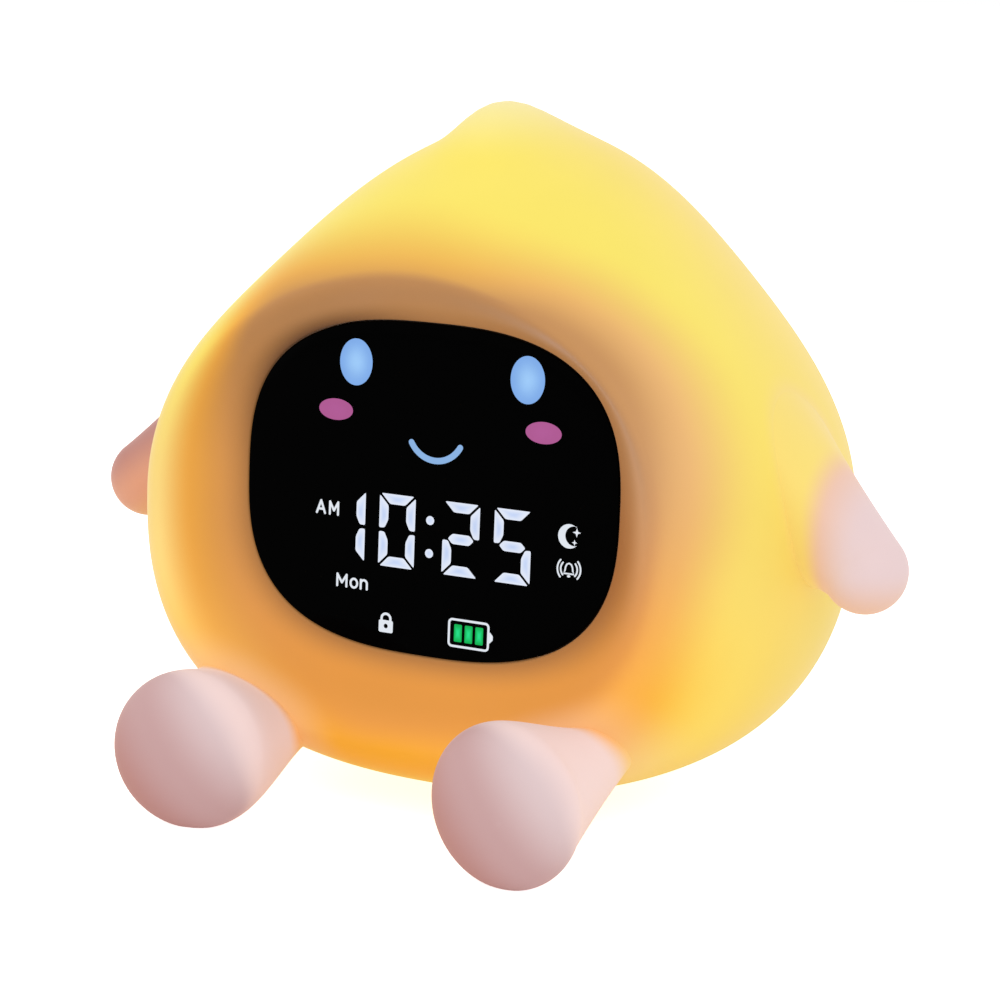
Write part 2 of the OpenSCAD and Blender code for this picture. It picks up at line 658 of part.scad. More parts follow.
module tact_switches() color("silver") for (i = [0:len(key_names) - 1]) difference() {
  translate([key_x(i), main_rear + switch_h / 2, key_z]) cube([6, switch_h, 6], center = true);
  bar(plunger_d + 2 * slide_gap, main_rear + 0.8, main_rear + switch_h + 1, key_x(i), key_z);
}

module plunger(i) color("black")
  bar(plunger_d, main_rear + 0.8 + key_travel + 0.1, plunger_top, key_x(i), key_z);

module key(i) color("white") {
  bar(plunger_d, plunger_top, panel_in - key_flange_t, key_x(i), key_z);
  bar(key_flange_d, panel_in - key_flange_t - 0.1, panel_in - 0.1, key_x(i), key_z);
  bar(key_d, panel_in - 0.2, back_y + key_proud - 0.3, key_x(i), key_z);
  bar(key_d - 0.8, back_y, back_y + key_proud, key_x(i), key_z);
}

module key_light() key(0);
module key_down() key(1);
module key_set() key(2);
module key_up() key(3);
module key_alarm() key(4);
module plunger_light() plunger(0);
module plunger_down() plunger(1);
module plunger_set() plunger(2);
module plunger_up() plunger(3);
module plunger_alarm() plunger(4);

// ---------------------------------------------------------------- charging port and switch
// A stadium of width w and height h
module stadium(w, h) {
  square([w - h, h], center = true);
  for (x = [-1, 1]) translate([x * (w - h) / 2, 0]) circle(d = h);
}

module usb_socket() color("silver") translate([0, 0, usb_z]) {
  difference() {
    stand(main_rear, usb_top) stadium(usb_w, usb_h);
    stand(main_rear + 2, usb_top + 1) stadium(usb_w - 0.6, usb_h - 0.6);
  }
  stand(main_rear + 1.9, usb_top - 0.8) square([6.7, 0.7], center = true);
}

knob_rest = switch_x - switch_travel / 2;

module switch_body() color("dimgray") difference() {
  translate([switch_x - 4.6, main_rear, switch_z - 2.2]) cube([9.2, 3.4, 4.4]);
  translate([switch_x - 2.9, main_rear + 1.4, switch_z - 1]) cube([5.8, 3, 2]);
}

module switch_knob() color("white") {
  translate([knob_rest - 0.9, main_rear + 1.8, switch_z - 0.8]) cube([1.8, 3.2, 1.6]);
  translate([knob_rest - 3.4, main_rear + 3.8, switch_z - 2.2]) cube([6.8, 1.2, 4.4]);
  difference() {
    translate([knob_rest - knob_w / 2, main_rear + 4.5, switch_z - knob_h / 2])
      cube([knob_w, back_y + 0.6 - main_rear - 4.5, knob_h]);
    for (x = [-0.9, 0, 0.9])
      translate([knob_rest + x - 0.2, back_y + 0.3, switch_z - 2]) cube([0.4, 1, 4]);
  }
}

module charge_lens() color("white", 0.5) bar(charge_d, main_rear + 1.2, back_y, charge_x, switch_z);

// ---------------------------------------------------------------- rear panel
grille_hole_d = 2;
grille_rings = [[1, 0], [6, 3.7], [12, 7.4]];

module panel_disc(inset, y0, y1)
  translate([0, 0, panel_z]) stand(y0, y1) polygon(oval(panel_w - 2 * inset, panel_h - 2 * inset));

module grille_holes() for (r = grille_rings, i = [0:r[0] - 1]) let (a = i * 360 / r[0])
  bar(grille_hole_d, panel_in - 1, back_y + 1, r[1] * cos(a), speaker_z + r[1] * sin(a));

module rear_panel() color("white") difference() {
  union() {
    panel_disc(0.2, panel_in, back_y);
    difference() {
      union() {
        panel_disc(0.2, flange_top - flange_t, panel_in);
        panel_disc(-flange_lap, flange_top - flange_t, flange_top);
      }
      panel_disc(2.8, flange_top - flange_t - 1, panel_in + 0.01);
    }
    for (x = [-1, 1]) {
      bar(tube_d, main_rear, panel_in + 1, x * post_x, post_z[0]);
      bar(tube_d, main_y, panel_in + 1, x * post_x, post_z[1]);
    }
    bar(speaker_d + 2.8, panel_in - 4, panel_in + 1, 0, speaker_z);
  }
  bar(speaker_d + 0.4, panel_in - 5, panel_in, 0, speaker_z);
  grille_holes();
  for (i = [0:len(key_names) - 1]) bar(key_d + 2 * slide_gap, panel_in - 1, back_y + 1, key_x(i), key_z);
  for (x = [-1, 1], z = post_z) {
    bar(post_d + 0.2, main_y - 1, post_end, x * post_x, z);
    bar(screw_d + 0.3, post_end - 1, back_y, x * post_x, z);
    bar(screw_d + 3, back_y - 1.8, back_y + 1, x * post_x, z);
  }
  translate([0, 0, usb_z]) stand(panel_in - 1, back_y + 1) stadium(usb_w + 0.4, usb_h + 0.4);
  translate([0, 0, usb_z]) stand(back_y - 0.8, back_y + 1) stadium(usb_w + 3.2, usb_h + 3.2);
  translate([switch_x, 0, switch_z]) {
    slot_w = knob_w + switch_travel + 2 * move_gap;
    stand(panel_in - 1, back_y + 1) square([slot_w, knob_h + 2 * slide_gap], center = true);
    stand(back_y - 1, back_y + 1) stadium(slot_w + 4, knob_h + 2.4);
  }
  bar(charge_d + 0.1, panel_in - 1, back_y + 1, charge_x, switch_z);
}

module panel_screws() color("silver") for (x = [-1, 1], z = post_z) screw(x * post_x, back_y - 1.8, z, 10);

// ---------------------------------------------------------------- speaker
module speaker_turn() translate([0, 0, speaker_z]) rotate([-90, 0, 0]) rotate_extrude() children();

module speaker_gasket() color("dimgray") speaker_turn() translate([speaker_d / 2 - 2, panel_in - 0.5]) square([2, 0.5]);

speaker_front = panel_in - 0.5;
magnet_r = 7;

module speaker_frame() color("gray") speaker_turn() polygon([
  [speaker_d / 2, speaker_front], [speaker_d / 2, speaker_front - 1.2], [speaker_d / 2 - 1.6, speaker_front - 1.6],
  [magnet_r + 0.6, speaker_front - 5], [magnet_r + 0.6, speaker_front - 6], [2.4, speaker_front - 6],
  [2.4, speaker_front - 5.2], [magnet_r - 0.4, speaker_front - 5.2], [magnet_r - 0.2, speaker_front - 4.2],
  [speaker_d / 2 - 3.2, speaker_front - 1.4], [speaker_d / 2 - 3.2, speaker_front]]);

module speaker_magnet() color("silver") bar(2 * magnet_r, speaker_front - 10, speaker_front - 6, 0, speaker_z);

// Points of the cone's section, from the rim that is glued on the frame to the cap and back
cone_r = speaker_d / 2 - 2.1;
cone_section = [[cone_r, 0.2], [cone_r - 1.3, 0.2], [cone_r - 2, 0.38], [cone_r - 2.7, 0.1], [5, -1.9],
  [4, -1.4], [2, -0.8], [0, -0.6], [0, -0.9], [2, -1.1], [3.9, -1.8], [3.9, -4.2], [4.4, -4.2], [4.4, -2.5],
  [5, -2.3], [cone_r - 2.5, -0.25], [cone_r - 2, 0.1], [cone_r - 1.5, 0], [cone_r, 0]];

module speaker_cone() color([0.15, 0.15, 0.15]) speaker_turn()
  polygon([for (p = cone_section) [p[0], speaker_front + p[1]]]);

// ---------------------------------------------------------------- battery
module battery_cell() color("steelblue") translate([-cell_l / 2, cell_y, cell_z]) rotate([0, 90, 0]) rotate_extrude()
  polygon([[0, 0], [cell_d / 2 - 0.6, 0], [cell_d / 2, 0.6], [cell_d / 2, cell_l - 0.8],
    [cell_d / 2 - 0.8, cell_l], [3, cell_l], [3, cell_l + 0.3], [0, cell_l + 0.3]]);

module battery_straps() color("black") for (x = [-1, 1]) translate([x * saddle_x - saddle_t / 2, cell_y, cell_z])
  rotate([0, 90, 0]) difference() {
    cylinder(d = cell_d + 0.2 + 2 * strap_t, h = saddle_t);
    translate([0, 0, -1]) cylinder(d = cell_d + 0.2, h = saddle_t + 2);
    translate([0, -cell_d, -1]) cube([cell_d, 2 * cell_d, saddle_t + 2]);
  }

// ---------------------------------------------------------------- base
module base_slab(grow, z0, z1) base_opening(grow, z0, z1);

module base_plate() color("white") difference() {
  union() {
    base_slab(-fit_gap, under_z, base_flange_z);
    base_slab(base_flange, base_flange_z, floor_z);
  }
  for (x = [-1, 1]) translate([x * base_screw_x, base_y, under_z - 1]) {
    cylinder(d = screw_d + 0.4, h = 8);
    cylinder(d = base_recess_d, h = base_recess_h + 1);
  }
}

module base_screws() color("silver") for (x = [-1, 1]) translate([x * base_screw_x, base_y, under_z + base_recess_h])
  rotate([-90, 0, 0]) screw(0, 0, 0, base_screw_l);

module base_pad() color("dimgray") translate([0, base_y, 0]) linear_extrude(pad_t) polygon(oval(pad_w, pad_d));

silicone_skin();
arm_left();
arm_right();
leg_left();
leg_right();
front_shell();
rear_shell();
lens();
lens_gasket();
mask_film();
display_housing();
light_box();
display_board();
display_leds();
chassis();
housing_screws();
lamp_board();
lamp_leds();
post_spacers();
main_board();
board_parts();
tact_switches();
usb_socket();
switch_body();
switch_knob();
rear_panel();
panel_screws();
charge_lens();
key_light();
key_down();
key_set();
key_up();
key_alarm();
plunger_light();
plunger_down();
plunger_set();
plunger_up();
plunger_alarm();
speaker_gasket();
speaker_frame();
speaker_magnet();
speaker_cone();
battery_cell();
battery_straps();
battery_leads();
lamp_leads();
speaker_leads();
display_ribbon();
touch_spring();
touch_lead();
base_plate();
base_screws();
base_pad();
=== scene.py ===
"""Looks of the kids alarm clock with night light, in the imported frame: metres, front -Y, up +Z."""
import json
import math
import bpy
import numpy as np
from mathutils import Matrix, Vector


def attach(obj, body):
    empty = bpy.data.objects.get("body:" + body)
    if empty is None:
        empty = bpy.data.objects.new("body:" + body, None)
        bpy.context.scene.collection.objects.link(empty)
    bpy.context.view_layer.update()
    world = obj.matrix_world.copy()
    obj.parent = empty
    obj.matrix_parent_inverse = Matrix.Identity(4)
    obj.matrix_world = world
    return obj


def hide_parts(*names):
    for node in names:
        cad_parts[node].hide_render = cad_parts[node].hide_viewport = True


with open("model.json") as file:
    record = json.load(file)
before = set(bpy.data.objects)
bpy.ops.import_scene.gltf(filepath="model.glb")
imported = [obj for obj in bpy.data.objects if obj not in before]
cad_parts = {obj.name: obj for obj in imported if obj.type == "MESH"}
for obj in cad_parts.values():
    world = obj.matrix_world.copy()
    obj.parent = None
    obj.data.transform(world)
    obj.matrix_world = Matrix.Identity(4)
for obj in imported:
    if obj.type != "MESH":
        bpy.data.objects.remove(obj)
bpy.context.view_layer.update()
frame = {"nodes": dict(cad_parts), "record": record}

MM = 0.001

# ---------------------------------------------------------------- sizes, in millimetres
# the same as in the part's source, but for the skin's outside, the limbs and the places of the lit signs
BODY_W, MIDDLE_H, CROWN_H, WAIST = 120.0, 47.0, 65.0, 4.0
BELLY_CUT, BELLY_N = 1.6, 2.4
# the tip's height, its middle along Y, its depths ahead and behind and its angle, and the rim's power
SHAPE_OUTSIDE = (5.2, -3.7, 8.6, 17.6, 5.9, 1.75)
SHAPE_INSIDE = (5.4, 0.0, 11.0, 11.0, 8.5, 2.0)
# at the side, top and bottom: Y of the widest line, and the crest's share of the way out to that line
WIDEST_Y, CREST_SHARE = (7.0, 7.5, 6.0), (0.5, 0.32, 0.49)
PAD_T, SKIN_WALL = 1.5, 2.5
FACE_Y, BACK_Y = -24.0, 44.0
MIDDLE_Z = PAD_T + MIDDLE_H
DISPLAY_W, DISPLAY_H, DISPLAY_N, DISPLAY_Z = 70.4, 56.0, 2.75, 55.1
LEAN = math.radians(2.5)
DISH_D, LENS_T, FIT_GAP = 9.5, 2.0, 0.15
PANEL_W, PANEL_H, PANEL_Z = 66.0, 62.0, 51.5
BASE_W, BASE_D, BASE_Y = 36.0, 20.0, 5.0
KEY_PITCH, KEY_PROUD, KEY_DROP = 9.5, 0.9, 6.5
# root and reach are in degrees and stations of the body surface, the rest in millimetres
LEG_ROOT, LEG_REACH, LEG_END, LEG_HALF = (-51.0, 1.166), (13.7, 0.351), (29.3, -49.75, 12.87), (13.3, 13.4)
LEG_TURN, LEG_DOME = math.radians(27.5), 8.5
ARM_ROOT, ARM_REACH, ARM_END, ARM_HALF = (9.4, 1.913), (16.7, 0.215), (69.6, -3.66, 46.4), 7.05


# ---------------------------------------------------------------- meshes
def add_piece(name, points, faces, replaced=(), body="clock", smooth=True, sharp=40):
    """A mesh piece from points in millimetres and faces, riding on a body and standing for the named nodes."""
    mesh = bpy.data.meshes.new(name)
    mesh.from_pydata((np.asarray(points, float) * MM).tolist(), [], faces)
    mesh.update()
    piece = bpy.data.objects.new(name, mesh)
    bpy.context.scene.collection.objects.link(piece)
    mesh.polygons.foreach_set("use_smooth", [smooth] * len(mesh.polygons))
    if smooth:
        mesh.set_sharp_from_angle(angle=math.radians(sharp))
    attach(piece, body)
    if replaced:
        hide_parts(*replaced)
    return piece


def paint(piece, name, colours):
    """Stores one linear colour a point."""
    layer = piece.data.color_attributes.new(name, "FLOAT_COLOR", "POINT")
    flat = np.ones((len(colours), 4))
    flat[:, :3] = colours
    layer.data.foreach_set("color", flat.ravel())


def mark(piece, name, values):
    """Stores one number a point."""
    layer = piece.data.attributes.new(name, "FLOAT", "POINT")
    layer.data.foreach_set("value", np.asarray(values, float).ravel())


def linear(*rgb):
    """A colour given in 0 to 255 as the screen shows it, as linear light."""
    c = np.array(rgb, float) / 255
    return np.where(c <= 0.04045, c / 12.92, ((c + 0.055) / 1.055) ** 2.4)


def ease(low, high, x):
    """0 below low, 1 above high, and a cubic S between."""
    k = np.clip((x - low) / (high - low), 0, 1)
    return k * k * (3 - 2 * k)


def mix(a, b, k):
    return a + (b - a) * k


def grid_faces(rows, around, wrap=False):
    """Quads between successive closed rings of a grid; wrap joins the last ring to the first."""
    j, i = np.meshgrid(np.arange(rows if wrap else rows - 1), np.arange(around), indexing="ij")
    k, m = (j + 1) % rows, (i + 1) % around
    quads = np.stack([j * around + i, j * around + m, k * around + m, k * around + i], -1)
    return quads.reshape(-1, 4).tolist()


def capped(grid, start, end):
    """Points and faces of a grid of rings closed by a fan to a point at both ends."""
    rows, around = grid.shape[:2]
    points = np.concatenate([grid.reshape(-1, 3), [start, end]])
    i = np.arange(around)
    n = (i + 1) % around
    first = np.stack([np.full(around, rows * around), n, i], -1)
    edge = (rows - 1) * around
    last = np.stack([np.full(around, rows * around + 1), edge + i, edge + n], -1)
    return points, grid_faces(rows, around) + first.tolist() + last.tolist()


# ---------------------------------------------------------------- body surface
def oval_radius(a, b, n, th):
    """Polar radius of the superellipse |x/a|^n + |z/b|^n = 1."""
    return (np.abs(np.cos(th) / a) ** n + np.abs(np.sin(th) / b) ** n) ** (-1 / n)


def body_surface(degrees, t, inset):
    """The body as rings round Y at angle th: the display's edge (t 0), the rim's crest (1), the widest line (2)
    and the panel's edge (3), joined by a soft S, a superelliptic quarter turn and an elliptic quarter turn. A
    Gaussian in th and y raises the tip, steeper ahead than behind, and a soft maximum flattens the underside.
    inset moves the surface inwards."""
    depth = inset / SKIN_WALL
    shape = (mix(a, b, depth) for a, b in zip(SHAPE_OUTSIDE, SHAPE_INSIDE))
    tip_h, tip_y, ahead, behind, tip_angle, n = shape
    th = np.radians(degrees)
    c, s = np.cos(th), np.sin(th)
    up, low = np.where(s > 0, s * s, 0), np.where(s < 0, s * s, 0)

    def by_side(side, top, bottom):
        return side * (1 - up - low) + top * up + bottom * low

    def wide(gap):
        crown = BODY_W / 2 + (CROWN_H - BODY_W / 2) * np.abs(s) ** 8 - WAIST * np.sin(2 * th) ** 2
        belly = oval_radius(BODY_W / 2, MIDDLE_H + BELLY_CUT, BELLY_N, th)
        r = np.where(s >= 0, crown, belly) - gap
        return np.stack([r * c, by_side(*WIDEST_Y) + 0 * t, MIDDLE_Z + r * s], -1)

    r = oval_radius(DISPLAY_W / 2, DISPLAY_H / 2, DISPLAY_N, th)
    edge = np.stack([r * c + 0 * t, FACE_Y + inset + r * s * math.tan(LEAN),
                     DISPLAY_Z + r * s - inset * math.sin(LEAN)], -1)
    k = by_side(*CREST_SHARE)[..., None]
    crest = mix(edge, wide(0 * inset), k)
    crest[..., 1] = FACE_Y + inset - DISH_D + (crest[..., 2] - DISPLAY_Z) * math.tan(LEAN)
    r = oval_radius(PANEL_W / 2, PANEL_H / 2, 2, th)
    panel = np.stack([r * c + 0 * t, BACK_Y - inset + 0 * r, PANEL_Z + r * s + 0 * t], -1)
    widest = wide(inset)

    def travel(a, b, across, along):
        return np.stack([mix(a[..., 0], b[..., 0], across), mix(a[..., 1], b[..., 1], along),
                         mix(a[..., 2], b[..., 2], across)], -1)

    u = np.clip(t, 0, 1)
    dish = travel(edge, crest, u, (1 - np.cos(math.pi * u)) / 2)
    q = np.clip(t - 1, 0, 1) * math.pi / 2
    out = travel(crest, widest, np.sin(q) ** (2 / n), 1 - np.clip(np.cos(q), 0, 1) ** (2 / n))
    q = np.clip(t - 2, 0, 1) * math.pi / 2
    back = travel(widest, panel, 1 - np.cos(q), np.sin(q))
    t = t[..., None]
    p = np.where(t <= 1, dish, np.where(t <= 2, out, back))
    off = np.abs((degrees + 450) % 360 - 180) / tip_angle
    from_tip = p[..., 1] - tip_y
    from_tip = from_tip / np.where(from_tip < 0, ahead, behind)
    rise = tip_h * np.exp(-off ** 2 - from_tip ** 2) * (t[..., 0] > 0.5)
    p[..., 0] += rise * c
    p[..., 2] += rise * s
    floor = PAD_T + inset
    p[..., 2] = (p[..., 2] + floor + np.sqrt((p[..., 2] - floor) ** 2 + 0.04)) / 2
    return p


# The tip's pale colour is a painted highlight.
CROWN_YELLOW, TIP_HIGHLIGHT = linear(254, 233, 102), linear(254, 240, 165)
SIDE_YELLOW, LEFT_GOLD = linear(254, 224, 106), linear(254, 219, 130)
LOW_ORANGE, LOW_GOLD, BACK_YELLOW = linear(250, 173, 8), linear(253, 218, 84), linear(254, 227, 120)
RIM_AMBER, RIM_ORANGE, RIM_TOP = linear(242, 188, 120), linear(247, 175, 70), linear(240, 180, 82)
# The dish's colours are browner because the lamps inside light the dish least, and they carry painted shade:
# under the top of the rim, next to the display, at the dish's upper left and on its right.
DISH_TOP_SHADE, DISH_RIGHT = linear(200, 145, 90), linear(214, 160, 110)
DISH_LEFT, DISH_LOW, DISH_EDGE_SHADE = linear(224, 156, 82), linear(240, 160, 70), linear(172, 118, 66)
DISH_SHADE, DISH_SHADE_RIGHT, LIMB_BLUSH = linear(92, 58, 34), linear(160, 100, 48), linear(247, 208, 184)


def body_glow_and_shade(degrees, t, points):
    """Colour of the lit silicone: yellow at the crown and sides, orange low in front, amber along the rim, and a
    blush round the roots of the limbs. The dish is browner, as the lamps inside light it least, and it holds
    painted shade under the top of the rim, next to the display, at its upper left and on its right; as painted
    shade the dish's brown also reaches further out at the upper right and upper left. The tip has a painted
    highlight, and the yellow of the outside reaching further in along the left rim is a painted highlight too.
    Blends run with the angle round Y and the station t."""
    c, s = np.cos(np.radians(degrees))[..., None], np.sin(np.radians(degrees))[..., None]
    top, low, left, right = ease(-0.1, 0.8, s), ease(0.15, 0.95, -s), ease(0.1, 1.0, -c), ease(0.1, 1.0, c)
    t = t[..., None]

    def near(angle, width):
        return np.exp(-(((degrees[..., None] - angle + 180) % 360 - 180) / width) ** 2)

    low_right = ease(-0.35, 0.5, -s) * ease(-0.3, 0.5, c)
    low_inside = np.maximum(low, low_right)
    front = mix(mix(SIDE_YELLOW, LEFT_GOLD, left), CROWN_YELLOW, top)
    low_front = np.maximum(low, ease(0.0, 0.6, -s) * ease(-0.2, 0.4, c))
    front = mix(front, mix(LOW_ORANGE, LOW_GOLD, ease(1.1, 1.6, t)), low_front)
    back = mix(BACK_YELLOW, LEFT_GOLD, low * 0.6)
    outside = mix(front, back, ease(1.6, 2.2, t))
    # A painted highlight on the tip: pale near the middle, above 108.5 mm.
    tip = np.exp(-(points[..., :1] / 16) ** 2) * ease(108.5, 120, points[..., 2:3])
    outside = mix(outside, TIP_HIGHLIGHT, tip)
    inside = mix(mix(mix(DISH_RIGHT, DISH_LEFT, left), DISH_TOP_SHADE, top), DISH_LOW, low_inside)
    # Painted shade in the dish next to the display: deepest at the upper left, orange-brown on the right, and
    # reaching further out at both.
    shaded = near(135, 30)
    shade_right = near(348, 26)
    edge_shade = mix(mix(DISH_EDGE_SHADE, DISH_SHADE, shaded), DISH_SHADE_RIGHT, shade_right)
    inside = mix(edge_shade, inside, ease(-0.1, 0.35 + 0.15 * shaded + 0.35 * shade_right, t))
    rim = mix(mix(RIM_AMBER, RIM_TOP, top * (1 - right)), RIM_ORANGE, np.maximum(low_inside, left))
    rim = mix(rim, LOW_ORANGE, 0.8 * near(266, 24))
    # The rim and outside colours start sooner on the left, a painted highlight along the left rim, and later at
    # 38 and 132 degrees, where painted shade carries the dish's brown further out.
    early = (t + 0.5 * left * (1 - 0.8 * ease(0.5, 0.95, s)) + 0.08 * ease(0.8, 1, s)
             - 0.1 * right * (1 - low_right) - 0.17 * near(38, 24) + 0.1 * low_right - 0.14 * near(132, 20))
    glow_and_shade = mix(mix(inside, rim, ease(0.7 + 0.17 * top, 1.2, early)), outside, ease(1.08, 1.5, early))
    glow_and_shade = glow_and_shade * (1 + 0.1 * ease(-0.2, 0.6, -s) * ease(0.5, 1.0, t) * (1 - ease(1.4, 2.0, t)))
    above_bottom = np.abs((degrees[..., None] + 270) % 360 - 180)
    for root, reach, share, spread in ((LEG_ROOT, LEG_REACH, 0.4, 1.9), (ARM_ROOT, ARM_REACH, 0.35, 1.2)):
        from_root = np.hypot((above_bottom - 90 - root[0]) / reach[0], (t - root[1]) / reach[1])
        glow_and_shade = mix(glow_and_shade, LIMB_BLUSH, share * (1 - ease(0.75, spread, from_root)))
    return glow_and_shade


def silicone_skin():
    """The body surface carried from a small lip at the display to a small lip at the panel, and back inside."""
    turn = np.linspace(0, math.pi / 2, 7)
    lip = np.stack([0.035 * (1 - np.sin(turn)), 0.5 * (1 - np.cos(turn))], -1)
    tail = np.stack([3 - 0.02 * (1 - np.sin(turn)), 0.4 * (1 - np.cos(turn))], -1)
    outer = np.stack([np.linspace(0.06, 2.965, 112), np.zeros(112)], -1)
    inner = np.stack([np.linspace(3, 0, 52), np.full(52, SKIN_WALL)], -1)
    line = np.concatenate([lip[::-1], outer, tail, inner])
    degrees, t = np.meshgrid(np.arange(300) * 1.2, line[:, 0])
    inset = np.repeat(line[:, 1:], 300, 1)
    grid = body_surface(degrees, t, inset)
    piece = add_piece("soft_skin", grid.reshape(-1, 3), grid_faces(len(line), 300, True),
                      ["silicone_skin"])
    paint(piece, "glow_and_shade", body_glow_and_shade(degrees, t, grid).reshape(-1, 3))
    turn = np.arange(96) * 2 * math.pi / 96
    cutter = [np.stack([BASE_W / 2 * np.cos(turn), BASE_Y + BASE_D / 2 * np.sin(turn), np.full(96, z)], -1)
              for z in (0.5, 4.8)]
    points, faces = capped(np.stack(cutter), [0, BASE_Y, 0.5], [0, BASE_Y, 4.8])
    mesh = bpy.data.meshes.new("opening")
    mesh.from_pydata((points * MM).tolist(), [], faces)
    knife = bpy.data.objects.new("opening", mesh)
    bpy.context.scene.collection.objects.link(knife)
    cut = piece.modifiers.new("opening", "BOOLEAN")
    cut.object, cut.operation, cut.solver = knife, "DIFFERENCE", "EXACT"
    bpy.context.view_layer.update()
    whole = bpy.data.meshes.new_from_object(piece.evaluated_get(bpy.context.evaluated_depsgraph_get()))
    piece.modifiers.clear()
    piece.data = whole
    bpy.data.objects.remove(knife)
    return piece


# ---------------------------------------------------------------- limbs
# The sole's tones are painted light, lit towards the lamp and shaded away from it; the legs' peach low down is
# painted shade.
SOLE_LIT, SOLE_ROSE, SOLE_SHADE = linear(227, 203, 204), linear(204, 164, 163), linear(190, 130, 121)
LEG_PALE, LEG_LOW_SHADE = linear(251, 223, 219), linear(249, 212, 200)
ARM_PALE, ARM_PEACH = linear(237, 211, 211), linear(244, 196, 166)
# The far arm's mauve, coral and gold are painted shade of the arm away from the lamp, warmed by the body's
# light; the peach below on both arms is painted shade.
ARM_SHADED_MAUVE, ARM_SHADED_CORAL, ARM_SHADED_GOLD = linear(184, 127, 121), linear(230, 163, 132), linear(241, 184, 110)
ARM_SHADE = np.array([-0.55, -0.3, 0.78])


def unit(v):
    v = np.array(v, float)
    return v / np.linalg.norm(v)


def limb(name, node, root, reach, end, across, over, ahead, dome, pull, leave, colour, side):
    """A limb as a cubic from a ring just inside the body's own surface to an elliptic ring at the limb's end,
    which it meets along "ahead", closed by a dome of elliptic section. root and reach are the middle and half
    sizes of the first ring in th and t; across and over are the half axes of the second. It leaves the body
    partly along the body's surface and partly straight towards the end, in the two shares of leave."""
    a = np.arange(96) * math.pi / 48

    def ring(k, inset):
        degrees, t = root[0] + reach[0] * k * np.cos(a), root[1] + reach[1] * k * np.sin(a)
        return degrees, t, body_surface(degrees, t, 0 * a + inset)

    degrees, t, start = ring(1.0, 0.22)
    rim = np.cos(a)[:, None] * across + np.sin(a)[:, None] * over
    slide = ring(0.8, 0.0)[2] - start
    leaving = slide * leave[0] + (end + rim - start) * leave[1]
    pulled = ahead * np.linalg.norm(end + rim - start, axis=1)[:, None] * pull
    v = np.linspace(0, 1, 64)[:, None, None]
    tube = (start * (1 + 2 * v) * (1 - v) ** 2 + leaving * v * (1 - v) ** 2 + (end + rim) * v * v * (3 - 2 * v)
            - pulled * v * v * (1 - v))
    q = np.linspace(0, math.pi / 2, 30)[1:-1, None, None]
    grid = np.concatenate([tube, end + np.cos(q) * rim + np.sin(q) * dome * ahead])
    grid[..., 2] = np.maximum(grid[..., 2], 0.0)
    along = np.concatenate([v[:, 0, 0], 1 + np.sin(q[:, 0, 0])])[:, None, None] + 0 * grid[..., :1]
    flip = np.array([side, 1, 1])
    grid = grid * flip
    body = body_glow_and_shade(degrees if side > 0 else 180 - degrees, t, start * flip)
    glow_and_shade = colour(grid, along, body, end * flip, side)
    points, faces = capped(grid, start.mean(0) * flip, (end + dome * ahead) * flip)
    if side < 0:
        faces = [f[::-1] for f in faces]
    piece = add_piece(name, points, faces, [node], sharp=60)
    paint(piece, "glow_and_shade", np.concatenate([glow_and_shade.reshape(-1, 3), glow_and_shade[0, :1], glow_and_shade[-1, :1]]))
    return piece


def leg_glow_and_shade(points, along, body, end, side):
    """Pale pink, with peach underneath as painted shade, and a rose sole painted lit towards the lamp and shaded
    away from it.
    """
    # Painted light on the sole: pale towards the lamp, deeper rose away from it.
    away = ((points - end) @ np.array([0.72, 0.0, 0.58]))[..., None] / LEG_HALF[0]
    sole = mix(mix(SOLE_SHADE, SOLE_ROSE, ease(-0.9, 0.0, away)), SOLE_LIT, ease(0.0, 0.8, away))
    leg = mix(LEG_LOW_SHADE, LEG_PALE, ease(2.0, 16.0, points[..., 2:3]))
    late = 0.5 * ease(0.1, 0.9, away)
    return mix(mix(body, leg, ease(0.03, 0.34, along)), sole, ease(0.65 + late, 1.15 + 1.4 * late, along))


def arm_glow_and_shade(points, along, body, end, side):
    """Pale pink, with peach below as painted shade and peach near the body, on the lamp's side; on the other
    arm, painted light and shade: coral with a mauve top and a gold underside, fading to pink towards the back.
    """
    up = (points[..., 2:3] - end[2] + ARM_HALF) / (2 * ARM_HALF)
    pink = mix(ARM_PEACH, ARM_PALE, ease(-0.05, 0.6, up) * ease(61.0, 70.0, np.abs(points[..., :1])))
    # Painted shade on the arm away from the lamp, fading to pink towards the back.
    if side < 0:
        away = 0.5 + ((points - end) @ ARM_SHADE)[..., None] / (2 * ARM_HALF)
        shade = mix(mix(ARM_SHADED_GOLD, ARM_SHADED_CORAL, ease(-0.1, 0.5, away)), ARM_SHADED_MAUVE, ease(0.55, 1.1, away))
        pink = mix(shade, pink, ease(-5.0, 6.5, points[..., 1:2]))
    return mix(body, pink, ease(60.0, 64.5, np.abs(points[..., :1])))


# ---------------------------------------------------------------- display
def on_display(points):
    """Points of the display's own frame, origin in the middle of the lens's face, as points of the clock."""
    x, y, z = np.moveaxis(np.asarray(points, float), -1, 0)
    return np.stack([x, FACE_Y + y * math.cos(LEAN) + z * math.sin(LEAN),
                     DISPLAY_Z - y * math.sin(LEAN) + z * math.cos(LEAN)], -1)


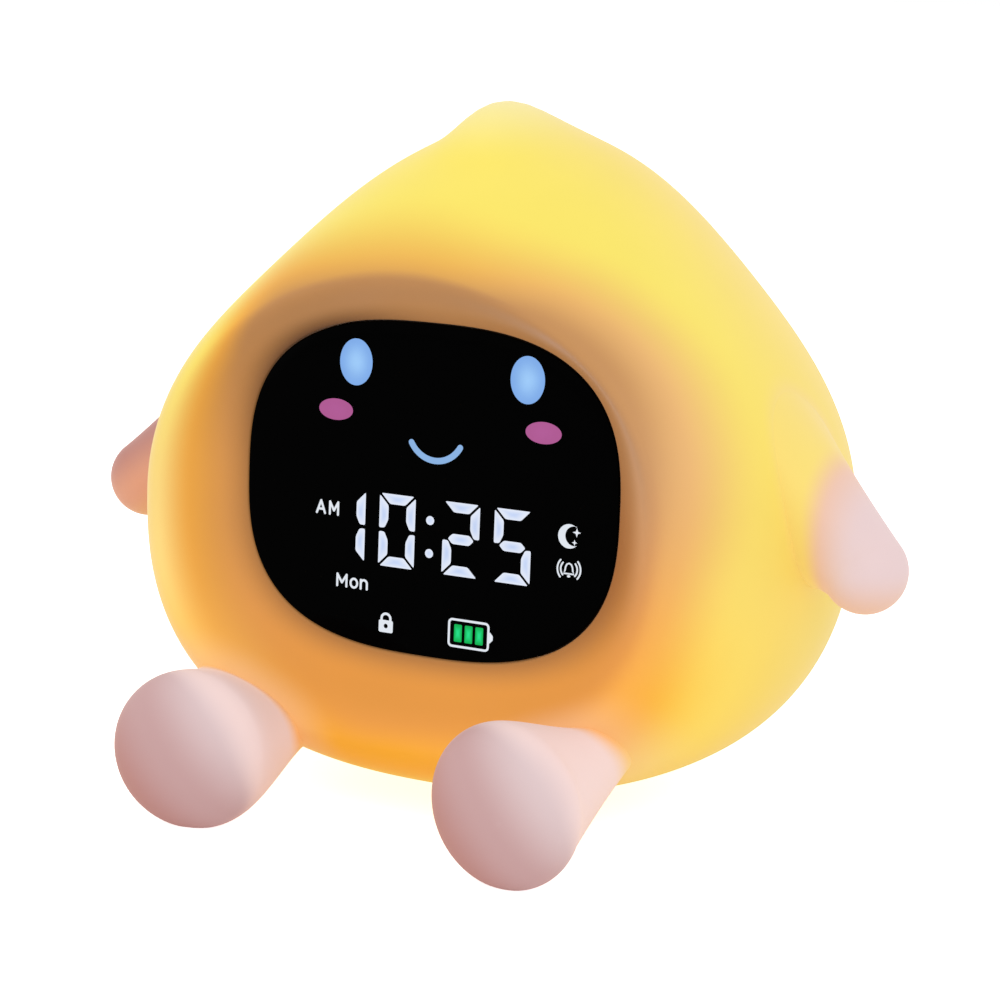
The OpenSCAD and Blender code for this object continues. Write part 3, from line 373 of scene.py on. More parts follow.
def display_lens():
    """A slab of superelliptic outline with a small rounded front edge."""
    around = 288
    th = np.arange(around) * 2 * math.pi / around
    q = np.linspace(0, math.pi / 2, 6)
    line = [(0.25, LENS_T)] + [(0.3 * (1 - math.cos(v)), 0.3 * (1 - math.sin(v))) for v in q[:-1]]
    line = line + [(0.3, 0.0), (3.0, 0.0), (12.0, 0.0), (20.0, 0.0)]
    rings = []
    for inset, y in line:
        r = oval_radius(DISPLAY_W / 2 - FIT_GAP - inset, DISPLAY_H / 2 - FIT_GAP - inset, DISPLAY_N, th)
        rings.append(np.stack([r * np.cos(th), 0 * th + y, r * np.sin(th)], -1))
    points, faces = capped(np.stack(rings), [0, LENS_T, 0], [0, 0, 0])
    return add_piece("display_glass", on_display(points), faces, ["lens"], sharp=30)


FRONT, REAR = -0.06, -0.01


def plate(outline):
    """A thin slab over the lens from a star-shaped outline: points, faces, and a value from 0 in the middle to 1
    at the rim."""
    outline = np.asarray(outline, float)
    n = len(outline)
    mid = outline.mean(0)
    flat = np.concatenate([[mid], outline, mid + (outline - mid) * 0.5])
    points = np.concatenate([np.insert(flat, 1, FRONT, 1), np.insert(flat[:n + 1], 1, REAR, 1)])
    i = np.arange(n)
    j = (i + 1) % n
    base = 2 * n + 1
    faces = np.stack([0 * i, n + 1 + j, n + 1 + i], -1).tolist()
    faces += np.stack([n + 1 + i, n + 1 + j, 1 + j, 1 + i], -1).tolist()
    faces += np.stack([1 + i, 1 + j, base + 1 + j, base + 1 + i], -1).tolist()
    faces += np.stack([0 * i + base, base + 1 + i, base + 1 + j], -1).tolist()
    return points, faces, np.concatenate([[0], np.ones(n), np.full(n, 0.5), [0], np.ones(n)])


def band(left, right, closed=False):
    """A thin slab over the lens between two lines of points."""
    left, right = np.asarray(left, float), np.asarray(right, float)
    n = len(left)
    points = np.concatenate([np.insert(line, 1, y, 1) for line in (left, right) for y in (FRONT, REAR)])
    i = np.arange(n if closed else n - 1)
    j = (i + 1) % n
    lf, lr, rf, rr = 0, n, 2 * n, 3 * n
    faces = []
    for a, b in ((rf, lf), (lf, lr), (lr, rr), (rr, rf)):
        faces += np.stack([a + i, a + j, b + j, b + i], -1).tolist()
    if not closed:
        faces += [[lf, lr, rr, rf], [lf + n - 1, rf + n - 1, rr + n - 1, lr + n - 1]]
    return points, faces, np.ones(4 * n)


def stroke(path, width):
    """A line of constant width with round ends: the path grows by half the width at both ends, where the line
    narrows along a half circle."""
    path = np.asarray(path, float)
    steps = np.linalg.norm(np.diff(path, axis=0), axis=1)
    along = np.concatenate([[0], np.cumsum(steps)])
    h = width / 2
    cap = h * (1 - np.cos(np.linspace(0, math.pi / 2, 7)))
    inner = np.linspace(0, along[-1], max(2, len(path) * 4))
    where = np.concatenate([cap - h, inner[1:-1], along[-1] + h - cap[::-1]])
    ahead = (path[-1] - path[-2]) / steps[-1]
    behind = (path[1] - path[0]) / steps[0]
    line = np.stack([np.interp(where, along, path[:, k]) for k in (0, 1)], -1)
    line += np.minimum(where, 0)[:, None] * behind + np.maximum(where - along[-1], 0)[:, None] * ahead
    tangent = np.gradient(line, axis=0)
    tangent[0], tangent[-1] = behind, ahead
    tangent /= np.linalg.norm(tangent, axis=1)[:, None]
    beyond = np.maximum(np.maximum(-where, where - along[-1]), 0)
    half = np.sqrt(np.clip(h * h - beyond ** 2, 1e-6, None))[:, None]
    side = np.stack([-tangent[:, 1], tangent[:, 0]], -1) * half
    return band(line + side, line - side)


def arc(cx, cz, rx, rz, start, end, count=24):
    th = np.radians(np.linspace(start, end, count))
    return np.stack([cx + rx * np.cos(th), cz + rz * np.sin(th)], -1)


def oval(cx, cz, w, h, count=48):
    return arc(cx, cz, w / 2, h / 2, 0, 360 - 360 / count, count)


def rounded(cx, cz, w, h, r):
    """Outline of a rectangle with round corners."""
    return np.concatenate([arc(cx + x * (w / 2 - r), cz + z * (h / 2 - r), r, r, a, a + 90, 6)
                           for x, z, a in ((1, 1, 0), (-1, 1, 90), (-1, -1, 180), (1, -1, 270))])


def loop(outline, width):
    """A closed line of constant width along an outline."""
    tangent = np.roll(outline, -1, 0) - np.roll(outline, 1, 0)
    tangent /= np.linalg.norm(tangent, axis=1)[:, None]
    side = np.stack([-tangent[:, 1], tangent[:, 0]], -1) * width / 2
    return band(outline + side, outline - side, True)


def thin_piece(name, shapes, place=on_display, body="clock"):
    """One piece from several thin shapes, with their rim values kept for the colour."""
    points, faces, rims, count = [], [], [], 0
    for p, f, rim in shapes:
        points.append(p)
        rims.append(rim)
        faces += [[v + count for v in face] for face in f]
        count += len(p)
    piece = add_piece(name, place(np.concatenate(points)), faces, body=body, smooth=False)
    mark(piece, "rim", np.concatenate(rims))
    return piece


DIGIT_W, DIGIT_H, SEGMENT_W, DIGIT_Z = 6.85, 12.3, 1.7, -7.3
DIGIT_X = [-15.15, -5.55, 6.6, 16.2]
LIT = {"0": "abcdef", "1": "bc", "2": "abged", "5": "afgcd"}


def segment_outlines():
    """The seven bars of a digit, cut at 45 degrees where they meet."""
    w, h, s, g = DIGIT_W / 2, DIGIT_H / 2, SEGMENT_W, 0.3
    flat = np.array([(g - w, h), (w - g, h), (w - g - s, h - s), (g + s - w, h - s)])
    tall = np.array([(w, h - g), (w - s, h - g - s), (w - s, g + s * 0.85), (w - s * 0.6, g + 0.05), (w, g)])
    m = s / 2
    middle = np.array([(g + 0.7 - w, 0), (g + 0.7 + m - w, m), (w - g - 0.7 - m, m), (w - g - 0.7, 0),
                       (w - g - 0.7 - m, -m), (g + 0.7 + m - w, -m)])
    return {"a": flat, "d": flat * [1, -1], "g": middle, "b": tall, "c": tall * [1, -1], "f": tall * [-1, 1],
            "e": -tall}


def eased_corners(outline, r):
    """The outline with each corner replaced by a curve that starts r before it and ends r after it."""
    outline = np.asarray(outline, float)
    before, after = np.roll(outline, 1, 0) - outline, np.roll(outline, -1, 0) - outline
    before /= np.linalg.norm(before, axis=1)[:, None]
    after /= np.linalg.norm(after, axis=1)[:, None]
    k = np.linspace(0, 1, 5)[None, :, None]
    curve = (outline + before * r)[:, None] * (1 - k) ** 2 + 2 * outline[:, None] * k * (1 - k)
    return (curve + (outline + after * r)[:, None] * k ** 2).reshape(-1, 2)


def counterclockwise(outline):
    x, z = np.asarray(outline, float).T
    return outline if (x * np.roll(z, -1) - np.roll(x, -1) * z).sum() > 0 else np.asarray(outline)[::-1]


def digits():
    bars = segment_outlines()
    return [plate(counterclockwise(eased_corners(bars[k], 0.32) + [x, DIGIT_Z]))
            for x, digit in zip(DIGIT_X, "1025") for k in LIT[digit]]


def letter_a(x, z, w, h, t):
    return [stroke([(x - w / 2, z - h / 2), (x, z + h / 2)], t),
            stroke([(x + w / 2, z - h / 2), (x, z + h / 2)], t),
            stroke([(x - w * 0.3, z - h * 0.18), (x + w * 0.3, z - h * 0.18)], t)]


def letter_m(x, z, w, h, t):
    return [stroke([(x - w / 2, z - h / 2), (x - w / 2, z + h / 2)], t),
            stroke([(x - w / 2, z + h / 2), (x, z - h * 0.2)], t),
            stroke([(x, z - h * 0.2), (x + w / 2, z + h / 2)], t),
            stroke([(x + w / 2, z + h / 2), (x + w / 2, z - h / 2)], t)]


def weekday(x, z):
    """The letters of a weekday: a capital M, an o and an n."""
    t = 0.38
    low = z - 1.0
    return (letter_m(x - 1.8, z, 1.8, 2.0, t) + [loop(oval(x + 0.55, low + 0.75, 1.3, 1.5, 28), t)]
            + [stroke([(x + 1.9, low), (x + 1.9, low + 1.5)], t),
               stroke(np.concatenate([arc(x + 2.5, low + 0.9, 0.6, 0.6, 170, 10, 10), [(x + 3.1, low)]]), t)])


def padlock(x, z):
    """A shackle over a rounded box with a round keyhole. The outlines of box and hole both start at the top."""
    bow = arc(x, z + 0.55, 0.85, 0.8, 180, 0, 14)
    shackle = np.concatenate([[(x - 0.85, z + 0.2)], bow, [(x + 0.85, z + 0.2)]])
    left, right = arc(x, z - 0.75, 0.4, 0.4, 90, 270, 12), arc(x, z - 0.75, 0.4, 0.4, 90, -90, 12)
    box = rounded(x, z - 0.8, 2.7, 2.1, 0.3)
    order = np.argsort(np.abs(box[:, 0] - x) + 10 * (box[:, 1] < z - 0.8))[0]
    box = np.roll(box, -order, 0)
    outer = np.array([box[int(k)] for k in np.linspace(0, len(box) - 1, 24)])
    hole = np.concatenate([left, right[::-1]])[:24]
    return [stroke(shackle, 0.42), band(hole, outer, True)]


def moon(x, z):
    """A crescent between two arcs, and two small stars."""
    outer, inner = arc(x, z, 2.0, 2.0, 52, 308, 40), arc(x + 0.9, z + 0.1, 1.62, 1.62, 74, 290, 40)
    stars = []
    for sx, sz, r in ((1.35, 0.75, 0.75), (1.0, -0.95, 0.5)):
        th = np.radians(np.arange(8) * 45)
        size = np.where(np.arange(8) % 2, r * 0.36, r)
        stars.append(plate(np.stack([x + sx + size * np.cos(th), z + sz + size * np.sin(th)], -1)))
    return [band(inner, outer)] + stars


def sound(x, z):
    """A small bell between two pairs of arcs."""
    bell = [(-0.95, -0.75), (0.95, -0.75), (0.72, -0.3), (0.62, 0.35), (0.4, 0.8), (0, 0.98), (-0.4, 0.8),
            (-0.62, 0.35), (-0.72, -0.3)]
    waves = [stroke(arc(x, z, r, r, a - 42, a + 42, 14), 0.28) for r in (1.5, 2.1) for a in (0, 180)]
    return [loop(np.array(bell) + [x, z], 0.26), plate(oval(x, z - 1.15, 0.6, 0.4, 16))] + waves


def battery_shell(x, z):
    nub = [(x + 3.62, z - 1.0), (x + 4.25, z - 0.35), (x + 4.25, z + 0.35), (x + 3.62, z + 1.0)]
    return [loop(rounded(x - 0.3, z, 7.4, 4.5, 0.6), 0.38), plate(eased_corners(nub, 0.15))]


def battery_bars(x, z):
    return [plate(rounded(x - 0.3 + k * 2.0, z, 1.45, 2.95, 0.2)) for k in (-1, 0, 1)]


def sun(r):
    """A ring with eight short rays."""
    th = np.arange(8) * math.pi / 4
    away = np.stack([np.cos(th), np.sin(th)], -1) * r
    rays = [stroke([1.75 * v, 2.3 * v], 0.3) for v in away]
    return [loop(oval(0, 0, 2 * r, 2 * r, 28), 0.32)] + rays


def clock_face(r):
    """A ring with two hands."""
    return [loop(oval(0, 0, 2 * r, 2 * r, 32), 0.32), stroke([(0, r * 0.6), (0, 0)], 0.3),
            stroke([(0.15, 0), (r * 0.5, 0)], 0.3)]


KEY_SIGNS = {"light": sun(0.8), "down": [stroke([(-1.3, 0), (1.3, 0)], 0.42)], "set": clock_face(1.6),
             "up": [stroke([(-1.3, 0), (1.3, 0)], 0.42), stroke([(0, 0.21), (0, 1.3)], 0.42),
                    stroke([(0, -0.21), (0, -1.3)], 0.42)], "alarm": sound(0, 0.1)[:2]}


# ---------------------------------------------------------------- materials
def group(name, inputs, outputs):
    """An empty node group with named sockets, and its input and output nodes."""
    tree = bpy.data.node_groups.new(name, "ShaderNodeTree")
    for socket, kind, value in inputs:
        made = tree.interface.new_socket(socket, in_out="INPUT", socket_type=kind)
        if value is not None:
            made.default_value = value
    for socket, kind in outputs:
        tree.interface.new_socket(socket, in_out="OUTPUT", socket_type=kind)
    return tree, tree.nodes.new("NodeGroupInput"), tree.nodes.new("NodeGroupOutput")


def node(tree, kind, values=(), **settings):
    """A node with settings, and values for its inputs by name or number: a socket to link, or a plain value."""
    made = tree.nodes.new(kind)
    for key, value in settings.items():
        setattr(made, key, value)
    for key, value in dict(values).items():
        if isinstance(value, bpy.types.NodeSocket):
            tree.links.new(value, made.inputs[key])
        else:
            made.inputs[key].default_value = value
    return made


def tone_group():
    """Mottling: broad noise that makes a colour a little lighter or darker and shifts its roughness."""
    tree, given, out = group(
        "mottle", [("Vector", "NodeSocketVector", None), ("Color", "NodeSocketColor", None),
                   ("Scale", "NodeSocketFloat", 60.0), ("Amount", "NodeSocketFloat", 0.05),
                   ("Roughness", "NodeSocketFloat", 0.5)],
        [("Color", "NodeSocketColor"), ("Roughness", "NodeSocketFloat")])
    broad = node(tree, "ShaderNodeTexNoise",
                 {"Vector": given.outputs["Vector"], "Scale": given.outputs["Scale"], "Detail": 4.0})
    swing = node(tree, "ShaderNodeMath", {0: broad.outputs["Fac"], 1: 0.5}, operation="SUBTRACT")
    scaled = node(tree, "ShaderNodeMath", {0: swing.outputs[0], 1: given.outputs["Amount"]},
                  operation="MULTIPLY")
    gain = node(tree, "ShaderNodeMath", {0: scaled.outputs[0], 1: 2.0, 2: 1.0}, operation="MULTIPLY_ADD")
    tinted = node(tree, "ShaderNodeVectorMath", {0: given.outputs["Color"], 1: gain.outputs[0]},
                  operation="MULTIPLY")
    rough = node(tree, "ShaderNodeMath", {0: scaled.outputs[0], 1: 1.5, 2: given.outputs["Roughness"]},
                 operation="MULTIPLY_ADD")
    tree.links.new(tinted.outputs[0], out.inputs["Color"])
    tree.links.new(rough.outputs[0], out.inputs["Roughness"])
    return tree


def grain_group():
    """Grain: fine noise over cells, as a height."""
    tree, given, out = group(
        "grain", [("Vector", "NodeSocketVector", None), ("Scale", "NodeSocketFloat", 900.0),
                  ("Cells", "NodeSocketFloat", 0.3)], [("Height", "NodeSocketFloat")])
    fine = node(tree, "ShaderNodeTexNoise",
                {"Vector": given.outputs["Vector"], "Scale": given.outputs["Scale"], "Detail": 3.0})
    cells = node(tree, "ShaderNodeTexVoronoi",
                 {"Vector": given.outputs["Vector"], "Scale": given.outputs["Scale"]})
    both = node(tree, "ShaderNodeMath", {0: cells.outputs["Distance"], 1: given.outputs["Cells"],
                                         2: fine.outputs["Fac"]}, operation="MULTIPLY_ADD")
    tree.links.new(both.outputs[0], out.inputs["Height"])
    return tree


def dust_group():
    """Dust: a pale film on faces that look up, broken by noise."""
    tree, given, out = group("dust", [("Vector", "NodeSocketVector", None), ("Color", "NodeSocketColor", None),
                                      ("Amount", "NodeSocketFloat", 0.06)], [("Color", "NodeSocketColor")])
    facing = node(tree, "ShaderNodeNewGeometry")
    parts = node(tree, "ShaderNodeSeparateXYZ", {0: facing.outputs["Normal"]})
    upward = node(tree, "ShaderNodeMapRange", {"Value": parts.outputs["Z"], "From Min": 0.3, "From Max": 1.0})
    cloud = node(tree, "ShaderNodeTexNoise", {"Vector": given.outputs["Vector"], "Scale": 140.0, "Detail": 5.0})
    veil = node(tree, "ShaderNodeMath", {0: upward.outputs[0], 1: cloud.outputs["Fac"]}, operation="MULTIPLY")
    share = node(tree, "ShaderNodeMath", {0: veil.outputs[0], 1: given.outputs["Amount"]}, operation="MULTIPLY")
    blend = node(tree, "ShaderNodeMix", {"Factor": share.outputs[0], 6: given.outputs["Color"],
                                         7: (0.75, 0.73, 0.7, 1)}, data_type="RGBA")
    tree.links.new(blend.outputs[2], out.inputs["Color"])
    return tree


MOTTLE, GRAIN, DUST = tone_group(), grain_group(), dust_group()


def start_material(name):
    material = bpy.data.materials.new(name)
    material.use_nodes = True
    tree = material.node_tree
    tree.nodes.clear()
    shader = node(tree, "ShaderNodeBsdfPrincipled")
    node(tree, "ShaderNodeOutputMaterial", {"Surface": shader.outputs[0]})
    place = node(tree, "ShaderNodeTexCoord")
    return material, tree, shader, place.outputs["Object"]


def shared(tree, kind, **values):
    made = tree.nodes.new("ShaderNodeGroup")
    made.node_tree = kind
    for key, value in values.items():
        if isinstance(value, bpy.types.NodeSocket):
            tree.links.new(value, made.inputs[key])
        else:
            made.inputs[key].default_value = value
    return made


def moulded(name, colour, roughness, metallic=0.0, specular=0.5, scale=60.0, amount=0.05, grain=900.0,
            cells=0.3, depth=0.02, dust=0.05, pattern=None):
    """A solid finish: mottled colour with a little dust, and grain as a bump. A pattern may change the colour
    first."""
    material, tree, shader, place = start_material(name)
    base = tuple(linear(*colour)) + (1,)
    if pattern:
        base = pattern(tree, place, base)
    toned = shared(tree, MOTTLE, Vector=place, Color=base, Scale=scale, Amount=amount, Roughness=roughness)
    dusty = shared(tree, DUST, Vector=place, Color=toned.outputs["Color"], Amount=dust)
    height = shared(tree, GRAIN, Vector=place, Scale=grain, Cells=cells)
    bump = node(tree, "ShaderNodeBump", {"Height": height.outputs[0], "Strength": 0.4, "Distance": depth * MM})
    tree.links.new(dusty.outputs[0], shader.inputs["Base Color"])
    tree.links.new(toned.outputs["Roughness"], shader.inputs["Roughness"])
    tree.links.new(bump.outputs[0], shader.inputs["Normal"])
    shader.inputs["Metallic"].default_value = metallic
    shader.inputs["Specular IOR Level"].default_value = specular
    return material


def silicone(name, own, light, rough):
    """Lit soft silicone: the painted colour, which holds painted shade and painted highlights as well, at the
    share "own", and as a light of its own, with fine grain and a soft bloom at its edges."""
    material, tree, shader, place = start_material(name)
    # The painted colour holds the silicone's own colour together with painted shade and painted highlights.
    glow_and_shade = node(tree, "ShaderNodeVertexColor", layer_name="glow_and_shade")
    toned = shared(tree, MOTTLE, Vector=place, Color=glow_and_shade.outputs["Color"], Scale=45.0, Amount=0.04,
                   Roughness=rough)
    height = shared(tree, GRAIN, Vector=place, Scale=1500.0, Cells=0.2)
    bump = node(tree, "ShaderNodeBump", {"Height": height.outputs[0], "Strength": 0.25, "Distance": 0.02 * MM})
    dim = node(tree, "ShaderNodeVectorMath", {0: toned.outputs["Color"], 1: (own, own, own)},
               operation="MULTIPLY")
    tree.links.new(dim.outputs[0], shader.inputs["Base Color"])
    tree.links.new(toned.outputs["Color"], shader.inputs["Emission Color"])
    tree.links.new(toned.outputs["Roughness"], shader.inputs["Roughness"])
    tree.links.new(bump.outputs[0], shader.inputs["Normal"])
    shader.inputs["Emission Strength"].default_value = light
    shader.inputs["Specular IOR Level"].default_value = 0.2
    shader.inputs["Sheen Weight"].default_value = 0.3
    shader.inputs["Sheen Roughness"].default_value = 0.4
    shader.inputs["Sheen Tint"].default_value = (1.0, 0.82, 0.74, 1)
    return material


def lit(name, rim, middle, strength=1.0):
    """A lit sign: its colour runs from middle to rim, with the slight unevenness of an LED behind it."""
    material, tree, shader, place = start_material(name)
    spread = node(tree, "ShaderNodeAttribute", attribute_name="rim")
    soft = node(tree, "ShaderNodeMapRange", {"Value": spread.outputs["Fac"]}, interpolation_type="SMOOTHSTEP")
    blend = node(tree, "ShaderNodeMix", {"Factor": soft.outputs[0], 6: tuple(linear(*middle)) + (1,),
                                         7: tuple(linear(*rim)) + (1,)}, data_type="RGBA")
    toned = shared(tree, MOTTLE, Vector=place, Color=blend.outputs[2], Scale=260.0, Amount=0.06, Roughness=0.4)
    tree.links.new(toned.outputs["Color"], shader.inputs["Emission Color"])
    shader.inputs["Base Color"].default_value = (0.0, 0.0, 0.0, 1)
    shader.inputs["Emission Strength"].default_value = strength
    shader.inputs["Specular IOR Level"].default_value = 0.0
    shader.inputs["Roughness"].default_value = 0.5
    return material


def traces(tree, place, base):
    """Copper tracks under the solder mask: thin lines between cells, a little lighter than the board."""
    cells = node(tree, "ShaderNodeTexVoronoi", {"Vector": place, "Scale": 260.0}, feature="DISTANCE_TO_EDGE",
                 distance="EUCLIDEAN")
    line = node(tree, "ShaderNodeMapRange", {"Value": cells.outputs["Distance"], "From Min": 0.03,
                                             "From Max": 0.06, "To Min": 0.5, "To Max": 0.0})
    blend = node(tree, "ShaderNodeMix", {"Factor": line.outputs[0], 6: base, 7: (0.16, 0.42, 0.14, 1)},
                 data_type="RGBA")
    return blend.outputs[2]


def fibres(tree, place, base):
    """Pressed paper fibres: short stretched noise."""
    wool = node(tree, "ShaderNodeTexNoise", {"Vector": place, "Scale": 700.0, "Detail": 6.0, "Distortion": 2.0})
    blend = node(tree, "ShaderNodeMix", {"Factor": wool.outputs["Fac"], 6: base, 7: (0.12, 0.12, 0.12, 1)},
                 data_type="RGBA")
    return blend.outputs[2]


FINISHES = {
    "diffuser": moulded("milky_diffuser", (246, 236, 214), 0.5, grain=700.0, depth=0.01),
    "foam_black": moulded("closed_cell_foam", (32, 32, 34), 0.95, specular=0.2, grain=1800.0, cells=1.0,
                          depth=0.08),
    "film_black": moulded("printed_mask", (12, 12, 13), 0.45, grain=2200.0, depth=0.004),
    "black_plastic": moulded("black_abs", (24, 24, 26), 0.5, grain=1600.0, cells=0.8, depth=0.02),
    "white_plastic": moulded("white_abs", (240, 238, 232), 0.42, amount=0.02, grain=1500.0, cells=0.8,
                             depth=0.015),
    "board_green": moulded("green_board", (18, 84, 44), 0.35, grain=1200.0, depth=0.01, pattern=traces),
    "board_white": moulded("white_board", (236, 238, 236), 0.35, amount=0.03, grain=1200.0, depth=0.01),
    "led_cream": moulded("led_phosphor", (248, 226, 140), 0.45, grain=3000.0, depth=0.01),
    "steel": moulded("zinc_steel", (190, 192, 196), 0.32, metallic=1.0, scale=300.0, amount=0.08, grain=2600.0,
                     depth=0.006),
    "nickel": moulded("nickel_plate", (205, 203, 198), 0.25, metallic=1.0, scale=200.0, amount=0.05,
                      grain=2600.0, depth=0.004),
    "key_plastic": moulded("satin_key", (246, 243, 236), 0.38, amount=0.02, grain=1700.0, cells=0.5,
                           depth=0.01),
    "plunger_black": moulded("black_pom", (18, 18, 20), 0.35, grain=1500.0, depth=0.01),
    "light_pipe": moulded("frosted_pipe", (236, 240, 242), 0.3, grain=1500.0, depth=0.01),
    "cone_black": moulded("paper_cone", (22, 22, 22), 0.85, grain=1500.0, depth=0.03, pattern=fibres),
    "cell_sleeve": moulded("shrink_sleeve", (54, 104, 176), 0.3, scale=90.0, amount=0.06, grain=420.0,
                           cells=0.0, depth=0.05),
    "wire_sleeve": moulded("pvc_sleeve", (176, 40, 36), 0.4, scale=120.0, grain=1400.0, depth=0.01),
    "spring_brass": moulded("spring_brass", (214, 178, 96), 0.28, metallic=1.0, scale=300.0, amount=0.08,
                            grain=2600.0, depth=0.005),
    "pad_rubber": moulded("rubber_pad", (52, 52, 54), 0.9, specular=0.25, grain=1300.0, cells=0.9, depth=0.06),
    "skin_yellow": silicone("lit_silicone_yellow", 0.6, 0.37, 0.55),
    "limb_pink": silicone("lit_silicone_pink", 0.6, 0.37, 0.55),
    "lens_smoke": moulded("smoked_lens", (1, 1, 1), 0.08, specular=0.01, amount=0.02, grain=900.0, depth=0.0005,
                          dust=0.0),
}


def finish_with(piece, material):
    piece.data.materials.clear()
    piece.data.materials.append(material)


# ---------------------------------------------------------------- the clock
finish_with(silicone_skin(), FINISHES["skin_yellow"])
LEG_ACROSS = np.array([LEG_HALF[0] * math.cos(LEG_TURN), 0, LEG_HALF[1] * math.sin(LEG_TURN)])
LEG_OVER = np.array([LEG_HALF[0] * math.sin(LEG_TURN), 0, -LEG_HALF[1] * math.cos(LEG_TURN)])
LEG_AHEAD, ARM_AHEAD = unit((0.38, -1, -0.046)), unit((1, -0.433, -0.88))
ARM_OVER = unit((0, 1, 0) - ARM_AHEAD[1] * ARM_AHEAD)
ARM_ACROSS = np.cross(ARM_AHEAD, ARM_OVER)
for side, word in ((1, "right"), (-1, "left")):
    leg = limb("soft_leg_" + word, "leg_" + word, LEG_ROOT, LEG_REACH, np.array(LEG_END), LEG_ACROSS, LEG_OVER,
               LEG_AHEAD, LEG_DOME, 0.6, (0.5, 0.42), leg_glow_and_shade, side)
    arm = limb("soft_arm_" + word, "arm_" + word, ARM_ROOT, ARM_REACH, np.array(ARM_END), ARM_HALF * ARM_ACROSS,
               ARM_HALF * ARM_OVER, ARM_AHEAD, ARM_HALF, 0.44, (0.3, 0.73), arm_glow_and_shade, side)
    finish_with(leg, FINISHES["limb_pink"])
    finish_with(arm, FINISHES["limb_pink"])
finish_with(display_lens(), FINISHES["lens_smoke"])

# places in the display's own frame, from the middle of the lens
COLON_X, COLON_Z = 0.72, (-4.75, -10.3)
EYES_X, EYES_Z, CHEEKS_X, CHEEKS_Z = (-14.35, 17.85), 20.3, (-18.0, 21.1), 12.0
SMILE, SMILE_R = (1.3, 10.6), 5.3
LETTER_A, LETTER_M, WEEKDAY, LOCK = (-20.4, -4.8), (-17.85, -4.8), (-14.1, -16.9), (-7.1, -22.9)
MOON, BELL, BATTERY = (26.5, -4.3), (26.7, -9.7), (9.0, -23.0)
LIGHTS = [
    ("lit_digits", digits(), lit("lit_blue_white", (226, 233, 248), (198, 214, 246))),
    ("lit_colon", [plate(oval(COLON_X, z, 1.5, 1.5, 24)) for z in COLON_Z],
     lit("lit_colon", (226, 233, 248), (205, 219, 247))),
    ("lit_eyes", [plate(oval(x, EYES_Z, 6.25, 7.85, 64)) for x in EYES_X],
     lit("lit_blue", (130, 174, 234), (158, 202, 248))),
    ("lit_cheeks", [plate(oval(x, CHEEKS_Z, 6.55, 3.6, 64)) for x in CHEEKS_X],
     lit("lit_pink", (176, 92, 148), (178, 94, 152))),
    ("lit_smile", [stroke(arc(*SMILE, SMILE_R, SMILE_R, 210, 330, 30), 1.05)],
     lit("lit_smile", (140, 180, 228), (160, 196, 238))),
    ("lit_signs", letter_a(*LETTER_A, 1.6, 2.1, 0.38) + letter_m(*LETTER_M, 1.6, 2.1, 0.38)
     + weekday(*WEEKDAY) + padlock(*LOCK) + moon(*MOON) + sound(*BELL) + battery_shell(*BATTERY),
     lit("lit_white", (226, 232, 240), (238, 242, 248))),
    ("lit_battery", battery_bars(*BATTERY), lit("lit_green", (24, 178, 84), (42, 226, 140))),
]
for name, shapes, material in LIGHTS:
    finish_with(thin_piece(name, shapes), material)



def on_key(middle):
    """Puts a flat sign on a key's outer face, which looks back, with the sign's middle at the given point."""
    return lambda points: middle - points * [1, 1, -1]


PRINT = moulded("printed_grey", (92, 94, 98), 0.5, grain=2200.0, depth=0.003, dust=0.0)
for i, (word, shapes) in enumerate(KEY_SIGNS.items()):
    place = on_key(np.array([(i - 2) * KEY_PITCH, BACK_Y + KEY_PROUD, PANEL_Z - KEY_DROP]))
    finish_with(thin_piece("sign_" + word, shapes, place, "key_" + word + "_body"), PRINT)

slots = {part["node"]: part["material_slot"] for part in frame["record"]["subparts"]}
for name, obj in frame["nodes"].items():
    finish_with(obj, FINISHES[slots[name]])

# ---------------------------------------------------------------- floor, light and camera, in metres
FLOOR_HALF, FLOOR_GREY, FLOOR_LIFT, SKY_LEVEL = 3, 0.96, 0.76, 0.86
LAMP_AIM = (0, 0, 0.06)
# azimuth, elevation and roll in degrees; distance in metres; the lens's focal length in millimetres
CAMERA_TURN, CAMERA_AIM = (28.0, 12.0, 1.0), (0.00085, 0.0, 0.0495)
CAMERA_DISTANCE, CAMERA_LENS = 0.51724, 108.0
floor = bpy.data.meshes.new("floor")
floor.from_pydata([(FLOOR_HALF * x, FLOOR_HALF * y, 0) for x, y in ((-1, -1), (1, -1), (1, 1), (-1, 1))], [],
                  [[0, 1, 2, 3]])
ground = bpy.data.objects.new("floor", floor)
bpy.context.scene.collection.objects.link(ground)
pale, tree, shader, place = start_material("pale_floor")
shader.inputs["Base Color"].default_value = (FLOOR_GREY, FLOOR_GREY, FLOOR_GREY, 1)
shader.inputs["Roughness"].default_value = 0.9
shader.inputs["Specular IOR Level"].default_value = 0.0
seen = node(tree, "ShaderNodeLightPath")
lift = node(tree, "ShaderNodeMath", {0: seen.outputs["Is Camera Ray"], 1: FLOOR_LIFT}, operation="MULTIPLY")
tree.links.new(lift.outputs[0], shader.inputs["Emission Strength"])
shader.inputs["Emission Color"].default_value = (1, 1, 1, 1)
floor.materials.append(pale)

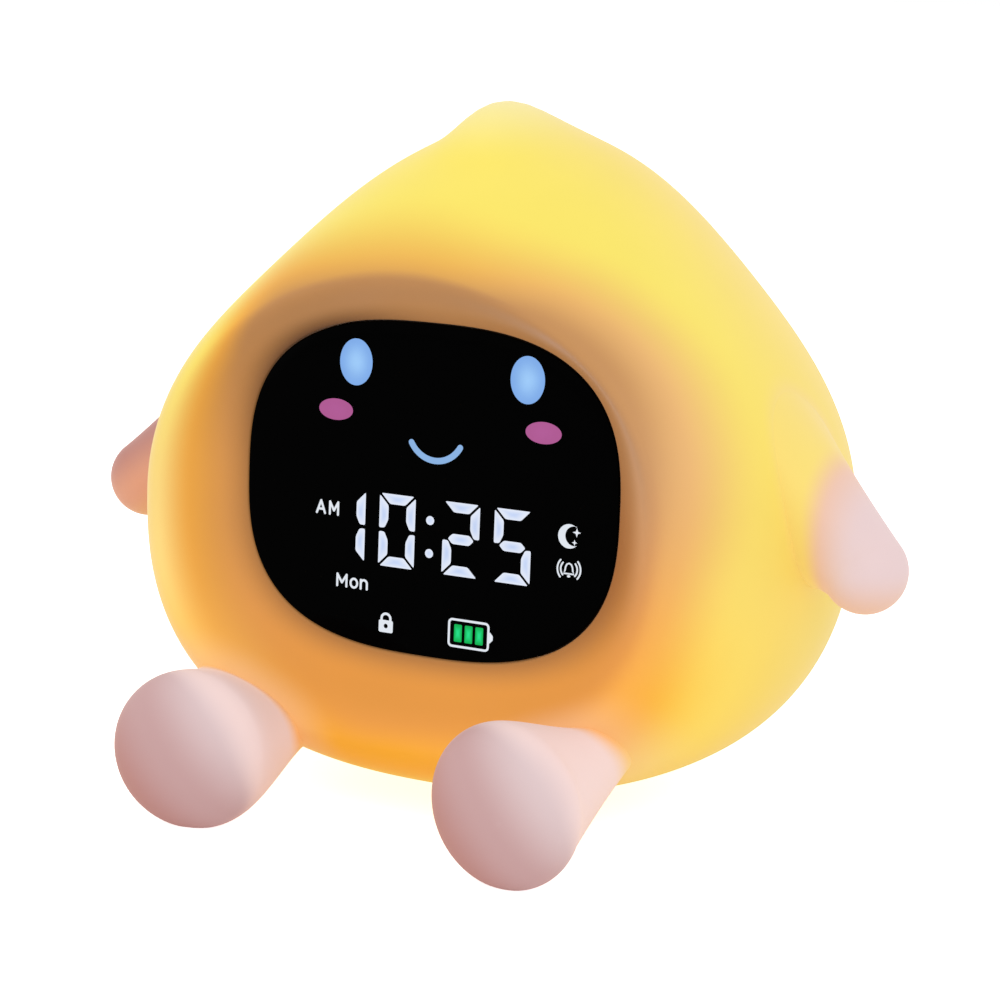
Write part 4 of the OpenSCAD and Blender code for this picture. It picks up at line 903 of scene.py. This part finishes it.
world = bpy.data.worlds.new("studio")
bpy.context.scene.world = world
world.use_nodes = True
tree = world.node_tree
tree.nodes.clear()
ray = node(tree, "ShaderNodeLightPath")
seen = node(tree, "ShaderNodeMath", {0: ray.outputs["Is Camera Ray"], 1: ray.outputs["Is Glossy Ray"]},
            operation="MAXIMUM")
seen = node(tree, "ShaderNodeMath", {0: seen.outputs[0], 1: ray.outputs["Is Transmission Ray"]},
            operation="MAXIMUM")
level = node(tree, "ShaderNodeMapRange", {"Value": seen.outputs[0], "To Min": SKY_LEVEL, "To Max": 1.0})
sky = node(tree, "ShaderNodeBackground", {"Color": (1, 1, 1, 1), "Strength": level.outputs[0]})
node(tree, "ShaderNodeOutputWorld", {"Surface": sky.outputs[0]})


def soft_lamp(name, place, aim, size, power):
    lamp = bpy.data.lights.new(name, "AREA")
    lamp.size, lamp.energy = size, power
    obj = bpy.data.objects.new(name, lamp)
    bpy.context.scene.collection.objects.link(obj)
    obj.location = place
    obj.rotation_euler = (Vector(aim) - Vector(place)).to_track_quat("-Z", "Y").to_euler()


soft_lamp("key_lamp", (0.55, -0.75, 0.85), LAMP_AIM, 0.6, 2.2)
soft_lamp("fill_lamp", (-0.8, -0.6, 0.35), LAMP_AIM, 0.7, 0.6)


def place_camera(azimuth, elevation, roll, target, distance, lens):
    """A camera on a sphere round the target, turned about its own axis by roll."""
    a, e, r = (math.radians(v) for v in (azimuth, elevation, roll))
    back = Vector((math.sin(a) * math.cos(e), -math.cos(a) * math.cos(e), math.sin(e)))
    right = Vector((math.cos(a), math.sin(a), 0))
    up = back.cross(right)
    across = math.cos(r) * right + math.sin(r) * up
    over = math.cos(r) * up - math.sin(r) * right
    data = bpy.data.cameras.new("camera")
    data.lens, data.sensor_width, data.clip_start = lens, 36.0, 0.01
    camera = bpy.data.objects.new("camera", data)
    bpy.context.scene.collection.objects.link(camera)
    turn = Matrix((across, over, back)).transposed().to_4x4()
    camera.matrix_world = Matrix.Translation(Vector(target) + back * distance) @ turn
    bpy.context.scene.camera = camera


place_camera(*CAMERA_TURN, CAMERA_AIM, CAMERA_DISTANCE, CAMERA_LENS)
bpy.context.scene.view_settings.view_transform = "Standard"
